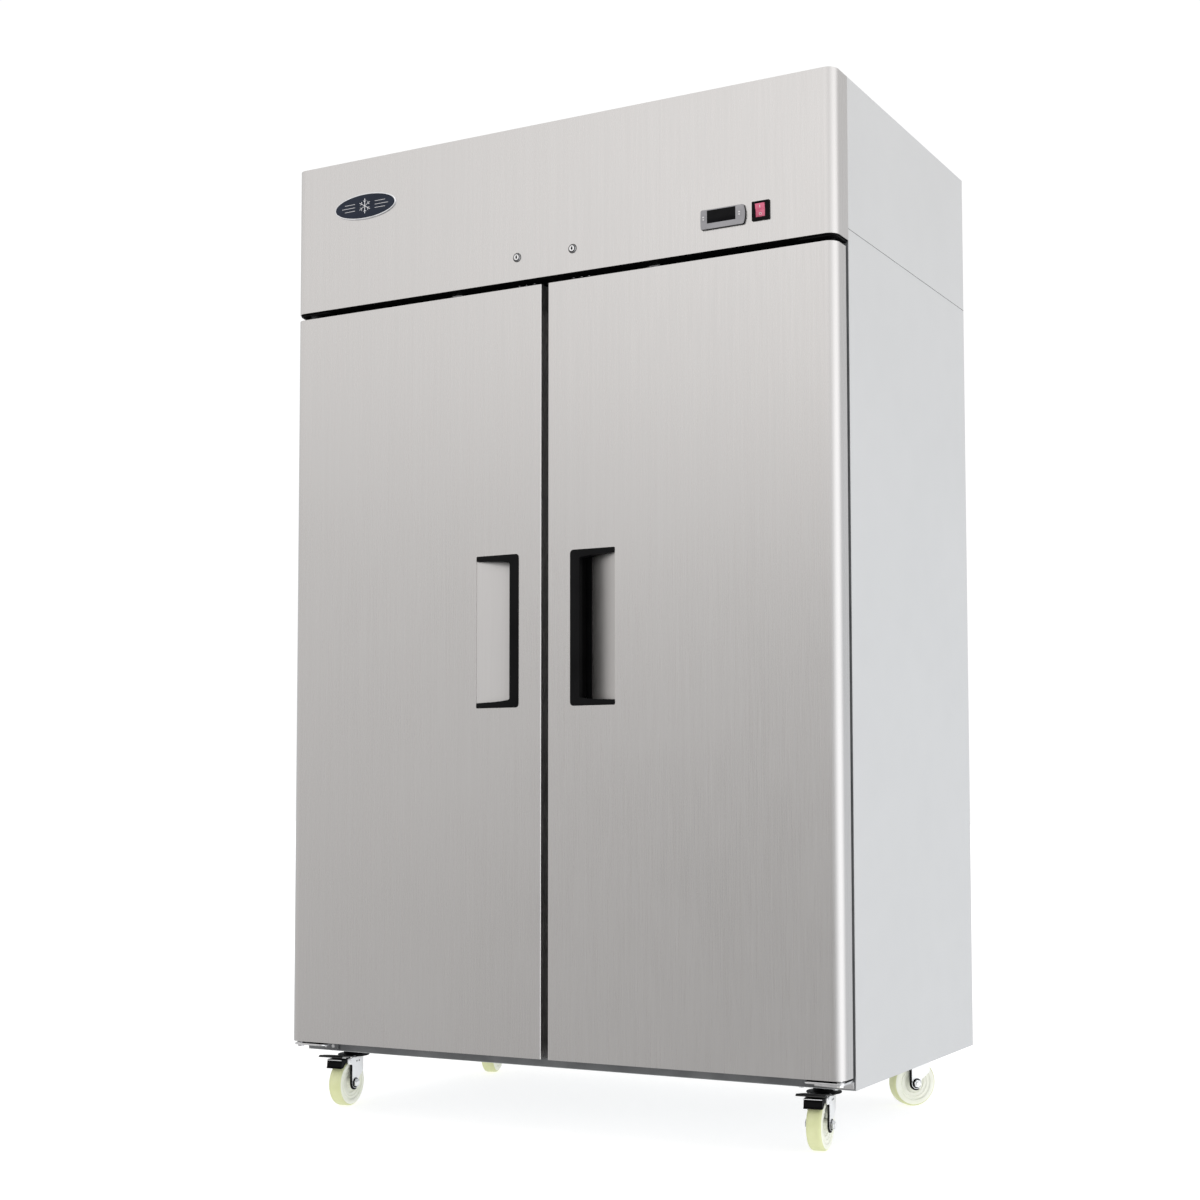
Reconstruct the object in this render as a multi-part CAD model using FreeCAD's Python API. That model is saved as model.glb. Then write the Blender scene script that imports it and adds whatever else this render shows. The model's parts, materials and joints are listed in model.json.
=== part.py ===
"""Two-door reach-in refrigerator with a top-mounted condensing unit, on four swivel casters.

Frame: X to the right as seen from the front, Y to the rear, Z up, in millimetres.
The origin is the centre of the footprint, on the floor.
"""
import FreeCAD
import Part
import math
import os

Vector = FreeCAD.Vector

# ---- driving dimensions -------------------------------------------------------------------
WIDTH = 1314.0            # over the side panels
HEIGHT = 2100.0           # floor to the top of the hood
FRONT_Y = -377.0          # front plane of the doors and the hood front
BACK_Y = 383.0            # outside of the back panel
PROUD = 6.0               # how far the controller stands out of the hood front
CASE_Y = -311.0           # front plane of the insulated case
CASE_Z = 126.0            # underside of the case
SEAM_Z = 1796.0           # joint between case sides and hood sides
DOOR_Z = (152.0, 1757.0)  # bottom and top of the doors
DOOR_REAR_Y = -325.0      # back of the door shells
HOOD_Z = 1772.0           # bottom of the hood front
CORNER_R = 22.0           # outer vertical corners of doors and hood front
DOOR_GAP = 16.6           # between the two doors
SHEET = 1.0               # sheet metal of the case
FRONT_SHEET = 1.5         # sheet metal of the hood front

BAY_X = 595.0             # inside face of the liner, either side
BAY_Z = (190.0, 1716.0)   # inside floor and ceiling
BAY_BACK_Y = 320.0        # inside rear wall
MULLION_X = 35.0          # half width of the centre mullion
DECK_Z = BAY_Z[1] + 62.0  # top of the insulation, under the deck sheet
DECK_TOP = DECK_Z + SHEET
SHELF_Z = (480.0, 850.0, 1220.0)

WHEEL_R = 50.8
WHEEL_W = 32.0
TRAIL = 28.0              # wheel axle ahead of the swivel axis
PEDAL_PIVOT = (-47.0, 100.0)  # brake pedal pivot from the swivel axis, y and z
CASTERS = {               # swivel axis x, y and how far the caster is turned at rest, degrees
    "front_left": (-589.0, -238.0, 5.0),
    "front_right": (562.5, -245.0, 7.0),
    "rear_left": (-566.0, 306.0, 16.0),
    "rear_right": (566.0, 306.0, -42.0),
}

HINGE_X = WIDTH / 2 - 14.0    # door pivot, either side
HINGE_Y = DOOR_REAR_Y - 30.0
HINGE_PIN_R = 5.0
RUN = 0.08                    # radial running clearance of pins and shafts

LOCK_X = 68.0
LOCK_Z = 1821.7
CONTROL_X = (368.0, 467.0)
CONTROL_Z = (1815.0, 1854.5)
ROCKER_X = (480.6, 519.0)
ROCKER_Z = (1817.0, 1856.0)
ROCKER_REST = 9.0             # tilt of the rocker when it is on, degrees
KEY_X = (375.5, 455.0)        # centres of the two controller keys
KEY_Z = 1837.0

PIPE_X = (-60.0, -35.0)       # refrigerant pipes through the deck
PIPE_Y = 200.0
CORD_X = 600.0                # cord inlet in the rear grille
CORD_Z = SEAM_Z + 60.0
CORD_BORE_R = 5.0
EVAP_X = 430.0                # half width of the evaporator housing
EVAP_Y = (60.0, 316.0)
EVAP_Z = (1590.0, 1712.0)

HANDLE_X = (62.5, 168.0)      # bar side and open side of the pull, from the centre line
HANDLE_Z = (872.0, 1193.0)
HANDLE_DEPTH = 36.0
BAR_W = 21.5
BAR_CORNER_R = 7.0
OPEN_CORNER_R = 2.5

half = WIDTH / 2


# ---- helpers ------------------------------------------------------------------------------
def box(x0, x1, y0, y1, z0, z1):
    return Part.makeBox(x1 - x0, y1 - y0, z1 - z0, Vector(x0, y0, z0))


def rod(start, end, radius):
    a, b = Vector(*start), Vector(*end)
    return Part.makeCylinder(radius, (b - a).Length, a, b - a)


def prism(points, start, direction):
    """Solid swept along direction from a closed outline of 3D points."""
    outline = [Vector(*p) for p in points]
    wire = Part.makePolygon(outline + outline[:1])
    return Part.Face(wire).extrude(Vector(*direction)).translated(Vector(*start))


def fuse(solids):
    solids = list(solids)
    if len(solids) == 1:
        return solids[0]
    return solids[0].fuse(solids[1:]).removeSplitter()


def cut(solid, tools):
    return solid.cut(list(tools))


def mirrored(shape):
    return shape.mirror(Vector(0, 0, 0), Vector(1, 0, 0))


def both_sides(shape):
    return [shape, mirrored(shape)]


def turned(shape, centre, axis, degrees):
    copy = shape.copy()
    copy.rotate(Vector(*centre), Vector(*axis), degrees)
    return copy


def save(name, solids):
    shapes = solids if isinstance(solids, list) else [solids]
    loose = [s for shape in shapes for s in shape.Solids]
    for s in loose:
        assert s.isValid() and s.isClosed(), name
    Part.makeCompound(loose).exportStep("parts/%s.step" % name)


# ---- insulated case -----------------------------------------------------------------------
def case_panels():
    side = box(half - SHEET, half, CASE_Y, BACK_Y, CASE_Z, SEAM_Z - 0.6)
    save("side_panel_right", side)
    save("side_panel_left", mirrored(side))
    inner = half - SHEET
    save("back_panel", box(-inner, inner, BACK_Y - SHEET, BACK_Y, CASE_Z, SEAM_Z - 0.6))
    rear = BACK_Y - SHEET
    base = box(-inner, inner, CASE_Y, rear, CASE_Z, CASE_Z + SHEET)
    bolts = []
    for x, y, turn in CASTERS.values():
        bolts += [rod((px, py, CASE_Z - 1), (px, py, CASE_Z + 2), 4.5)
                  for px, py in plate_holes(x, y)]
    save("base_panel", cut(base, bolts))
    deck = box(-inner, inner, CASE_Y, rear, DECK_Z, DECK_TOP)
    save("deck_panel", cut(deck, [pipe_hole(x) for x in PIPE_X]))
    foam = box(-inner, inner, CASE_Y + 12.2, rear, CASE_Z + SHEET, DECK_Z)
    bay = box(-BAY_X - SHEET, BAY_X + SHEET, CASE_Y - 5, BAY_BACK_Y + SHEET,
              BAY_Z[0] - SHEET, BAY_Z[1] + SHEET)
    save("insulation_foam", cut(foam, [bay] + [pipe_hole(x) for x in PIPE_X]))


def plate_holes(x, y):
    return [(x + sx * 36.0, y + sy * 27.0) for sx in (-1, 1) for sy in (-1, 1)]


def pipe_hole(x):
    return rod((x, PIPE_Y, BAY_Z[1] - 5), (x, PIPE_Y, BAY_Z[1] + 70), 8.0)


def inner_liner():
    y0, y1 = CASE_Y + 12.2, BAY_BACK_Y
    z0, z1 = BAY_Z
    wall = box(BAY_X, BAY_X + SHEET, y0, y1 + SHEET, z0 - SHEET, z1 + SHEET)
    floor = box(-BAY_X, BAY_X, y0, y1 + SHEET, z0 - SHEET, z0)
    ceiling = box(-BAY_X, BAY_X, y0, y1 + SHEET, z1, z1 + SHEET)
    rear = box(-BAY_X, BAY_X, y1, y1 + SHEET, z0, z1)
    save("inner_liner", both_sides(wall) + [floor, cut(ceiling, [pipe_hole(x) for x in PIPE_X]), rear])


def face_frame():
    """Stiles, sill and header that the gaskets seal on, 12 mm thick."""
    y0, y1 = CASE_Y, CASE_Y + 12.0
    inner = half - SHEET
    stile = box(BAY_X, inner, y0, y1, CASE_Z + SHEET, DECK_Z)
    sill = box(-BAY_X, BAY_X, y0, y1, CASE_Z + SHEET, BAY_Z[0])
    header = box(-BAY_X, BAY_X, y0, y1, BAY_Z[1], DECK_Z)
    save("face_frame", both_sides(stile) + [sill, header])
    save("centre_mullion", box(-MULLION_X, MULLION_X, y0, y0 + 30.0, *BAY_Z))


# ---- hood over the condensing unit --------------------------------------------------------
def rounded_front(x0, x1, y0, y1, z0, z1, r_left, r_right):
    """Upright block whose two front corners are rounded; a zero radius stays square."""
    block = box(x0, x1, y0, y1, z0, z1)
    for x, r, side in ((x0, r_left, 1), (x1, r_right, -1)):
        if r > 0:
            corner = box(min(x, x + side * r), max(x, x + side * r), y0, y0 + r, z0 - 1, z1 + 1)
            round_part = rod((x + side * r, y0 + r, z0 - 2), (x + side * r, y0 + r, z1 + 2), r)
            block = block.cut(corner.cut(round_part))
    return block


def hood_front():
    t = FRONT_SHEET
    outer = rounded_front(-half, half, FRONT_Y, CASE_Y, HOOD_Z, HEIGHT, CORNER_R, CORNER_R)
    inner = rounded_front(-half + t, half - t, FRONT_Y + t, CASE_Y + 5, HOOD_Z + t, HEIGHT - t,
                          CORNER_R - t, CORNER_R - t)
    top_opening = box(-half + 25, half - 25, FRONT_Y + 25, CASE_Y + 5, HEIGHT - 5, HEIGHT + 5)
    holes = [rod((x, FRONT_Y - 1, LOCK_Z), (x, FRONT_Y + 5, LOCK_Z), 8.2) for x in (-LOCK_X, LOCK_X)]
    holes.append(box(CONTROL_X[0] + 8, CONTROL_X[1] - 8, FRONT_Y - 1, FRONT_Y + 5,
                     CONTROL_Z[0] + 5, CONTROL_Z[1] - 5))
    holes.append(box(ROCKER_X[0] + 3, ROCKER_X[1] - 3, FRONT_Y - 1, FRONT_Y + 5,
                     ROCKER_Z[0] + 3, ROCKER_Z[1] - 3))
    save("hood_front", cut(outer, [inner, top_opening] + holes))


def hood_sides_and_back():
    side = box(half - SHEET, half, CASE_Y, BACK_Y, SEAM_Z, HEIGHT)
    save("hood_side_panels", both_sides(side))
    panel = box(-half + SHEET, half - SHEET, BACK_Y - SHEET, BACK_Y, SEAM_Z, HEIGHT - 2)
    slots = []
    for column in (-380.0, 0.0, 380.0):
        for row in range(9):
            z = SEAM_Z + 60.0 + row * 22.0
            slots.append(box(column - 140, column + 140, BACK_Y - 5, BACK_Y + 5, z, z + 7))
    gland = rod((CORD_X, BACK_Y - 5, CORD_Z), (CORD_X, BACK_Y + 5, CORD_Z), 8.0)
    save("hood_back_grille", cut(panel, slots + [gland]))


# ---- controller, power switch and locks ---------------------------------------------------
def controller():
    x0, x1 = CONTROL_X
    z0, z1 = CONTROL_Z
    front = FRONT_Y - PROUD
    flange = box(x0, x1, front, FRONT_Y, z0, z1)
    bulge = rod((x1 - 51.5, front, (z0 + z1) / 2), (x1 - 51.5, FRONT_Y, (z0 + z1) / 2), 51.5)
    flange = flange.common(fuse([bulge, box(x0, x1 - 40, front, FRONT_Y, z0, z1)]))
    body = box(x0 + 8.3, x1 - 8.3, FRONT_Y, FRONT_Y + 55, z0 + 5.3, z1 - 5.3)
    window = box(383, 447, front - 1, front + 3.5, z0 + 10.5, z1 - 2)
    wells = [box(x - 4.3, x + 4.3, front - 1, front + 4, KEY_Z - 6.3, KEY_Z + 6.3) for x in KEY_X]
    save("controller_bezel", cut(fuse([flange, body]), [window] + wells))
    save("controller_display", box(383.3, 446.7, front + 1, front + 3.5, z0 + 10.8, z1 - 2.3))
    for name, x in zip(("controller_key_left", "controller_key_right"), KEY_X):
        save(name, box(x - 4, x + 4, front + 0.2, front + 3, KEY_Z - 6, KEY_Z + 6))


def power_switch():
    x0, x1 = ROCKER_X
    z0, z1 = ROCKER_Z
    flange = box(x0, x1, FRONT_Y - 4, FRONT_Y, z0, z1)
    body = box(x0 + 3.3, x1 - 3.3, FRONT_Y, FRONT_Y + 26, z0 + 3.3, z1 - 3.3)
    zc = (z0 + z1) / 2 + 1.5
    opening = box(488.4, 509.6, FRONT_Y - 5, FRONT_Y + 14, zc - 14.4, zc + 14.4)
    save("rocker_frame", cut(fuse([flange, body]), [opening]))
    pivot_y = FRONT_Y + 2.0
    depth, reach = 3.8, 13.3
    tip_y = pivot_y - depth - reach * math.tan(math.radians(ROCKER_REST))
    x = 488.8
    outline = [(x, pivot_y - depth, zc), (x, tip_y, zc + reach), (x, pivot_y, zc + reach),
               (x, pivot_y + 6, zc), (x, pivot_y, zc - reach), (x, tip_y, zc - reach)]
    rocker = prism(outline, (0, 0, 0), (20.4, 0, 0))
    save("rocker_button", turned(rocker, (0, pivot_y, zc), (1, 0, 0), ROCKER_REST))


def locks():
    housings = []
    for name, x in (("lock_cylinder_left", -LOCK_X), ("lock_cylinder_right", LOCK_X)):
        collar = rod((x, FRONT_Y - 2.5, LOCK_Z), (x, FRONT_Y, LOCK_Z), 9.5)
        barrel = rod((x, FRONT_Y, LOCK_Z), (x, FRONT_Y + 24, LOCK_Z), 8.0)
        bore = rod((x, FRONT_Y - 5, LOCK_Z), (x, FRONT_Y + 30, LOCK_Z), 6.0 + RUN)
        housings.append(cut(fuse([collar, barrel]), [bore]))
        plug = rod((x, FRONT_Y - 3.5, LOCK_Z), (x, FRONT_Y + 25, LOCK_Z), 6.0)
        keyway = box(x - 0.6, x + 0.6, FRONT_Y - 5, FRONT_Y + 4, LOCK_Z - 4, LOCK_Z + 4)
        cam = box(x - 6, x + 36, FRONT_Y + 25, FRONT_Y + 28, LOCK_Z - 6, LOCK_Z + 6)
        save(name, cut(fuse([plug, cam]), [keyway]))
    save("lock_housings", housings)


# ---- condensing unit on the deck ----------------------------------------------------------

def compressor():
    x, y = -250.0, 120.0
    feet = box(x - 110, x + 110, y - 80, y + 80, DECK_TOP, DECK_TOP + 4)
    shell = rod((x, y, DECK_TOP + 4), (x, y, DECK_TOP + 150), 82.0)
    dome = Part.makeSphere(82.0, Vector(x, y, DECK_TOP + 130))
    dome = dome.common(box(x - 90, x + 90, y - 90, y + 90, DECK_TOP + 130, DECK_TOP + 200))
    terminal = box(x - 130, x - 70, y - 30, y + 30, DECK_TOP + 60, DECK_TOP + 120)
    save("compressor", fuse([feet, shell, dome, terminal]))


def condenser():
    """Finned coil with its fan and shroud; air is drawn from the front to the rear."""
    x0, x1, z0, z1 = 60.0, 400.0, DECK_TOP, DECK_TOP + 270.0
    y0, y1 = -150.0, -90.0
    frame = cut(box(x0, x1, y0, y1, z0, z1), [box(x0 + 12, x1 - 12, y0 - 1, y1 + 1, z0 + 12, z1 - 12)])
    pack = box(x0 + 12, x1 - 12, y0 + 6, y1 - 6, z0 + 12, z1 - 12)
    save("condenser_coil", fuse([frame, pack]))
    xc, zc = (x0 + x1) / 2, (z0 + z1) / 2
    plate = box(x0, x1, y1, y1 + 2, z0, z1)
    ring = rod((xc, y1, zc), (xc, y1 + 40, zc), 122.0)
    throat = rod((xc, y1 - 1, zc), (xc, y1 + 41, zc), 119.0)
    bar = box(xc - 160, xc + 160, y1 + 62, y1 + 66, zc - 12, zc + 12)
    posts = [box(px, px + 10, y1 + 2, y1 + 62, zc - 12, zc + 12) for px in (xc - 160, xc + 150)]
    motor = rod((xc, y1 + 45, zc), (xc, y1 + 100, zc), 32.0)
    bore = rod((xc, y1, zc), (xc, y1 + 75, zc), 4.0 + RUN)
    save("condenser_shroud", cut(fuse([plate, ring, bar, motor] + posts), [throat.cut(motor), bore]))
    save("condenser_fan", fan((xc, y1 + 18, zc), 114.0, 30.0, 4.0, 5, 22.0, y1 + 70))


def fan(centre, radius, hub_r, shaft_r, blades, depth, shaft_end):
    """Axial fan about Y: hub, shaft to the motor and pitched blades."""
    x, y, z = centre
    hub = rod((x, y - depth / 2, z), (x, y + depth / 2, z), hub_r)
    shaft = rod((x, y, z), (x, shaft_end, z), shaft_r)
    blade = box(x - radius * 0.22, x + radius * 0.22, y - 1, y + 1, z + hub_r * 0.6, z + radius)
    blade = blade.common(rod((x, y - depth, z), (x, y + depth, z), radius))
    blade = turned(blade, (x, y, z), (0, 0, 1), 25.0)
    copies = [turned(blade, centre, (0, 1, 0), 360.0 * i / blades) for i in range(blades)]
    return fuse([hub, shaft] + copies)


def deck_fittings():
    pan = box(-60, 30, 230, 360, DECK_TOP, DECK_TOP + 45)
    save("condensate_pan", cut(pan, [box(-58, 28, 232, 358, DECK_TOP + 2, DECK_TOP + 50)]))
    case = box(430, 610, 180, 360, DECK_TOP, DECK_TOP + 120)
    inside = box(432, 608, 182, 358, DECK_TOP + 2, DECK_TOP + 118)
    tube = rod((CORD_X, 360, CORD_Z), (CORD_X, BACK_Y - SHEET, CORD_Z), 7.8)
    collar = rod((CORD_X, BACK_Y - SHEET, CORD_Z), (CORD_X, BACK_Y, CORD_Z), 7.8)
    bore = rod((CORD_X, 350, CORD_Z), (CORD_X, BACK_Y + 5, CORD_Z), CORD_BORE_R)
    save("electrical_box", cut(fuse([case, tube, collar]), [inside, bore]))


def pipe(points, radius, bend):
    """Round tube along straight runs with equal bends at the inner points."""
    pts = [Vector(*p) for p in points]
    edges = []
    start = pts[0]
    for before, corner, after in zip(pts, pts[1:], pts[2:]):
        u = (before - corner).normalize()
        v = (after - corner).normalize()
        turn = math.pi - u.getAngle(v)
        back = bend * math.tan(turn / 2)
        a, b = corner + u * back, corner + v * back
        bisector = (u + v).normalize()
        middle = corner + bisector * (math.hypot(bend, back) - bend)
        edges.append(Part.LineSegment(start, a).toShape())
        edges.append(Part.Arc(a, middle, b).toShape())
        start = b
    edges.append(Part.LineSegment(start, pts[-1]).toShape())
    spine = Part.Wire(edges)
    ring = Part.Wire([Part.makeCircle(radius, pts[0], pts[1] - pts[0])])
    return spine.makePipeShell([ring], True, True)


def refrigerant_pipes():
    z = DECK_TOP + 30.0
    coil_top = EVAP_Z[1] - 14
    suction = pipe([(PIPE_X[0], PIPE_Y, coil_top), (PIPE_X[0], PIPE_Y, z + 60),
                    (-200, PIPE_Y, z + 60), (-200, 180, z + 60)], 5.0, 9.0)
    liquid = pipe([(PIPE_X[1], PIPE_Y, coil_top), (PIPE_X[1], PIPE_Y, z + 20),
                   (-35, -120, z + 20), (60, -120, z + 20)], 4.0, 14.0)
    discharge = pipe([(-250, 38.5, z + 80), (-250, -120, z + 80), (60, -120, z + 80)], 4.0, 14.0)
    save("refrigerant_pipes", [suction, liquid, discharge])


# ---- inside the case ----------------------------------------------------------------------
def evaporator():
    y0, y1 = EVAP_Y
    z0, z1 = EVAP_Z
    zc = (z0 + z1) / 2
    shell = box(-EVAP_X, EVAP_X, y0, y1, z0, z1)
    inside = box(-EVAP_X + 2, EVAP_X - 2, y0 + 2, y1 - 2, z0 + 2, z1 + 1)
    mouth = rod((0, y0 - 1, zc), (0, y0 + 3, zc), 52.0)
    vents = [box(x, x + 12, y0 - 1, y0 + 3, z0 + 25, z1 - 25)
             for side in (-1, 1) for x in [side * 240 + 24 * i - 78 for i in range(7)]]
    bar = box(-70, 70, y0 + 58, y0 + 62, z0 + 2, z1)
    motor = rod((0, y0 + 34, zc), (0, y0 + 58, zc), 22.0)
    bore = rod((0, y0 + 20, zc), (0, y0 + 50, zc), 3.0 + RUN)
    save("evaporator_housing", cut(fuse([cut(shell, [inside, mouth] + vents), bar, motor]), [bore]))
    save("evaporator_fan", fan((0, y0 + 20, zc), 48.0, 16.0, 3.0, 5, 12.0, y0 + 48))
    block = box(-400, 400, 190, 290, z0 + 8, z1 - 14)
    tubes = [rod((-412, y, z), (412, y, z), 5.0) for y in (215, 265) for z in (z0 + 35, z0 + 80)]
    save("evaporator_coil", fuse([block] + tubes))


def shelf_standards():
    """Slotted uprights with clips that carry the shelves, four in each bay."""
    z0, z1 = BAY_Z[0] + 20, 1560.0
    posts = []
    for y in (-230.0, 270.0):
        posts.append(box(BAY_X - 8, BAY_X, y - 10, y + 10, z0, z1))
    posts.append(box(8, 28, CASE_Y + 30, CASE_Y + 38, z0, z1))
    posts.append(box(8, 28, BAY_BACK_Y - 8, BAY_BACK_Y, z0, z1))
    clips = []
    for z in SHELF_Z:
        top = z - 3.2
        for y in (-230.0, 270.0):
            clips.append(box(BAY_X - 28, BAY_X - 8, y - 8, y + 8, top - 12, top))
        clips.append(box(10, 26, CASE_Y + 38, CASE_Y + 66, top - 12, top))
        clips.append(box(10, 26, BAY_BACK_Y - 36, BAY_BACK_Y - 8, top - 12, top))
    right = posts + clips
    save("shelf_standards", right + [mirrored(s) for s in right])


def wire_shelves():
    """Six identical lift-out wire shelves: a rim, cross rods and close wires on top."""
    x0, x1, y0, y1 = 16.0, 583.0, -262.0, 300.0
    z = SHELF_Z[0]
    rim_r, side_r, cross_r, wire_r = 3.0, 2.6, 2.2, 1.6
    rods = [rod((x0 - rim_r, y, z), (x1 + rim_r, y, z), rim_r) for y in (y0, y1)]
    rods += [rod((x, y0, z), (x, y1, z), side_r) for x in (x0, x1)]
    rods += [rod((x0, y, z), (x1, y, z), cross_r) for y in (-90.0, 110.0)]
    pitch = 27.0
    count = int((x1 - x0) / pitch)
    rods += [rod((x0 + pitch * i, y0, z + 2.4), (x0 + pitch * i, y1, z + 2.4), wire_r)
             for i in range(1, count)]
    shelf = rods[0].fuse(rods[1:])
    shelves = []
    for level in SHELF_Z:
        moved = shelf.translated(Vector(0, 0, level - z))
        shelves += both_sides(moved)
    save("wire_shelves", shelves)


def lamp():
    body = box(-160, 160, -230, -190, BAY_Z[1] - 18, BAY_Z[1])
    lens = rod((-160, -210, BAY_Z[1] - 18), (160, -210, BAY_Z[1] - 18), 12.0)
    save("interior_lamp", fuse([body, lens]))


# ---- doors (modelled on the right-hand side and mirrored) -----------------------------------
def handle_well(grow):
    """Finger pocket of the pull: flush at its open side, deepest behind the bar."""
    x0, x1 = HANDLE_X
    z0, z1 = HANDLE_Z
    outline = [(x0 - grow, FRONT_Y - 1, z0 - grow), (x1 + grow, FRONT_Y - 1, z0 - grow),
               (x1 + grow, FRONT_Y + 2 + grow, z0 - grow),
               (x0 + 52, FRONT_Y + HANDLE_DEPTH * 0.72 + grow, z0 - grow),
               (x0 + 26, FRONT_Y + HANDLE_DEPTH + grow, z0 - grow),
               (x0 - grow, FRONT_Y + HANDLE_DEPTH + grow, z0 - grow)]
    well = prism(outline, (0, 0, 0), (0, 0, z1 - z0 + 2 * grow))
    return well.common(handle_window(grow))


def handle_window(grow):
    """Front outline of the pull with its rounded corners, as an upright block."""
    x0, x1 = HANDLE_X[0] - grow, HANDLE_X[1] + grow
    z0, z1 = HANDLE_Z[0] - grow, HANDLE_Z[1] + grow
    window = box(x0, x1, FRONT_Y - 5, FRONT_Y + 60, z0, z1)
    for x, side, r in ((x0, 1, BAR_CORNER_R + grow), (x1, -1, OPEN_CORNER_R + grow)):
        for z, up in ((z0, 1), (z1, -1)):
            xc, zc = x + side * r, z + up * r
            corner = box(min(x, xc), max(x, xc), FRONT_Y - 6, FRONT_Y + 61, min(z, zc), max(z, zc))
            quarter = rod((xc, FRONT_Y - 7, zc), (xc, FRONT_Y + 62, zc), r)
            window = window.cut(corner.cut(quarter))
    return window


def door(side, place):
    x0, x1 = DOOR_GAP / 2, half
    z0, z1 = DOOR_Z
    cap = 10.0
    t = SHEET
    inner_r = CORNER_R - t
    outer = rounded_front(x0, x1, FRONT_Y, DOOR_REAR_Y, z0, z1, 3.0, CORNER_R)
    hollow = rounded_front(x0 + t, x1 - t, FRONT_Y + t, DOOR_REAR_Y + 5, z0 - 5, z1 + 5, 2.0, inner_r)
    skin = cut(outer, [hollow, handle_well(t)])
    save("door_skin_" + side, place(skin))

    rear = DOOR_REAR_Y - t
    pins = [hinge_bore(z0), hinge_bore(z1)]
    fill = rounded_front(x0 + t, x1 - t, FRONT_Y + t, rear, z0, z1, 2.0, inner_r)
    core = fill.common(box(x0, x1, FRONT_Y, rear, z0 + cap, z1 - cap))
    save("door_core_" + side, place(cut(core, [handle_well(t)] + pins)))
    caps = [fill.common(box(x0, x1, FRONT_Y, rear, a, b)) for a, b in ((z0, z0 + cap), (z1 - cap, z1))]
    save("door_end_caps_" + side, place(Part.makeCompound([cut(c, pins) for c in caps])))
    save("door_liner_" + side, place(box(x0 + t, x1 - t, rear, DOOR_REAR_Y, z0, z1)))

    g0, g1 = DOOR_REAR_Y, CASE_Y - 0.3
    gx0, gx1, gz0, gz1 = x0 + 5, half - 20, z0 + 16, z1 - 19
    width = 16.0
    gasket = [box(gx0, gx0 + width, g0, g1, gz0, gz1), box(gx1 - width, gx1, g0, g1, gz0, gz1),
              box(gx0 + width, gx1 - width, g0, g1, gz0, gz0 + width),
              box(gx0 + width, gx1 - width, g0, g1, gz1 - width, gz1)]
    save("door_gasket_" + side, place(Part.makeCompound(gasket)))

    hx0, hx1 = HANDLE_X
    hz0, hz1 = HANDLE_Z
    well = cut(handle_well(t), [box(hx0 - 5, hx1 + 5, FRONT_Y - 5, FRONT_Y, hz0 - 5, hz1 + 5)])
    pocket = cut(well, [handle_well(0)])
    save("handle_pocket_" + side, place(pocket))
    bar = box(hx0, hx0 + BAR_W, FRONT_Y - 1, FRONT_Y + 9, hz0, hz1)
    arm_profile = [(hx0, FRONT_Y - 1, 0), (hx1 - 2, FRONT_Y - 1, 0), (hx1 - 2, FRONT_Y, 0),
                   (hx0 + 52, FRONT_Y + 20, 0), (hx0, FRONT_Y + 26, 0)]
    arms = [prism(arm_profile, (0, 0, z), (0, 0, 8.5)) for z in (hz0, hz1 - 8.5)]
    trim = fuse([bar] + arms).common(handle_window(0))
    save("handle_trim_" + side, place(trim))


def hinge_bore(z):
    return rod((HINGE_X, HINGE_Y, z - 26), (HINGE_X, HINGE_Y, z + 26), HINGE_PIN_R + RUN)


def door_hinges():
    x_in, x_out = 572.0, half - 3
    front, back = FRONT_Y + 8, CASE_Y
    leaf = rounded_front(x_in, x_out, front, back, 143.0, 147.0, 10.0, 10.0)
    flange = box(x_in, x_out, back - 4, back, 129.0, 143.0)
    pin = rod((HINGE_X, HINGE_Y, 147.0), (HINGE_X, HINGE_Y, DOOR_Z[0] + 22), HINGE_PIN_R)
    lower = fuse([leaf, flange, pin])
    top_leaf = rounded_front(x_in, x_out, front, back, HOOD_Z - 4, HOOD_Z, 10.0, 10.0)
    top_pin = rod((HINGE_X, HINGE_Y, DOOR_Z[1] - 22), (HINGE_X, HINGE_Y, HOOD_Z - 4), HINGE_PIN_R)
    save("door_hinges", both_sides(lower) + both_sides(fuse([top_leaf, top_pin])))


# ---- casters (modelled about their own swivel axis, wheel ahead of it) -----------------------
def place_caster(name, shape):
    x, y, turn = CASTERS[name]
    return turned(shape, (0, 0, 0), (0, 0, 1), turn).translated(Vector(x, y, 0))


def caster_plates():
    plates = []
    for x, y, turn in CASTERS.values():
        plate = box(x - 48, x + 48, y - 38, y + 38, CASE_Z - 3, CASE_Z)
        holes = [rod((px, py, CASE_Z - 5), (px, py, CASE_Z + 1), 4.5) for px, py in plate_holes(x, y)]
        boss = rod((x, y, 118.0), (x, y, CASE_Z - 3), 20.0)
        kingpin = rod((x, y, 103.0), (x, y, 118.0), 6.0)
        plates.append(cut(fuse([plate, boss, kingpin]), holes))
    save("caster_plates", plates)


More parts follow.
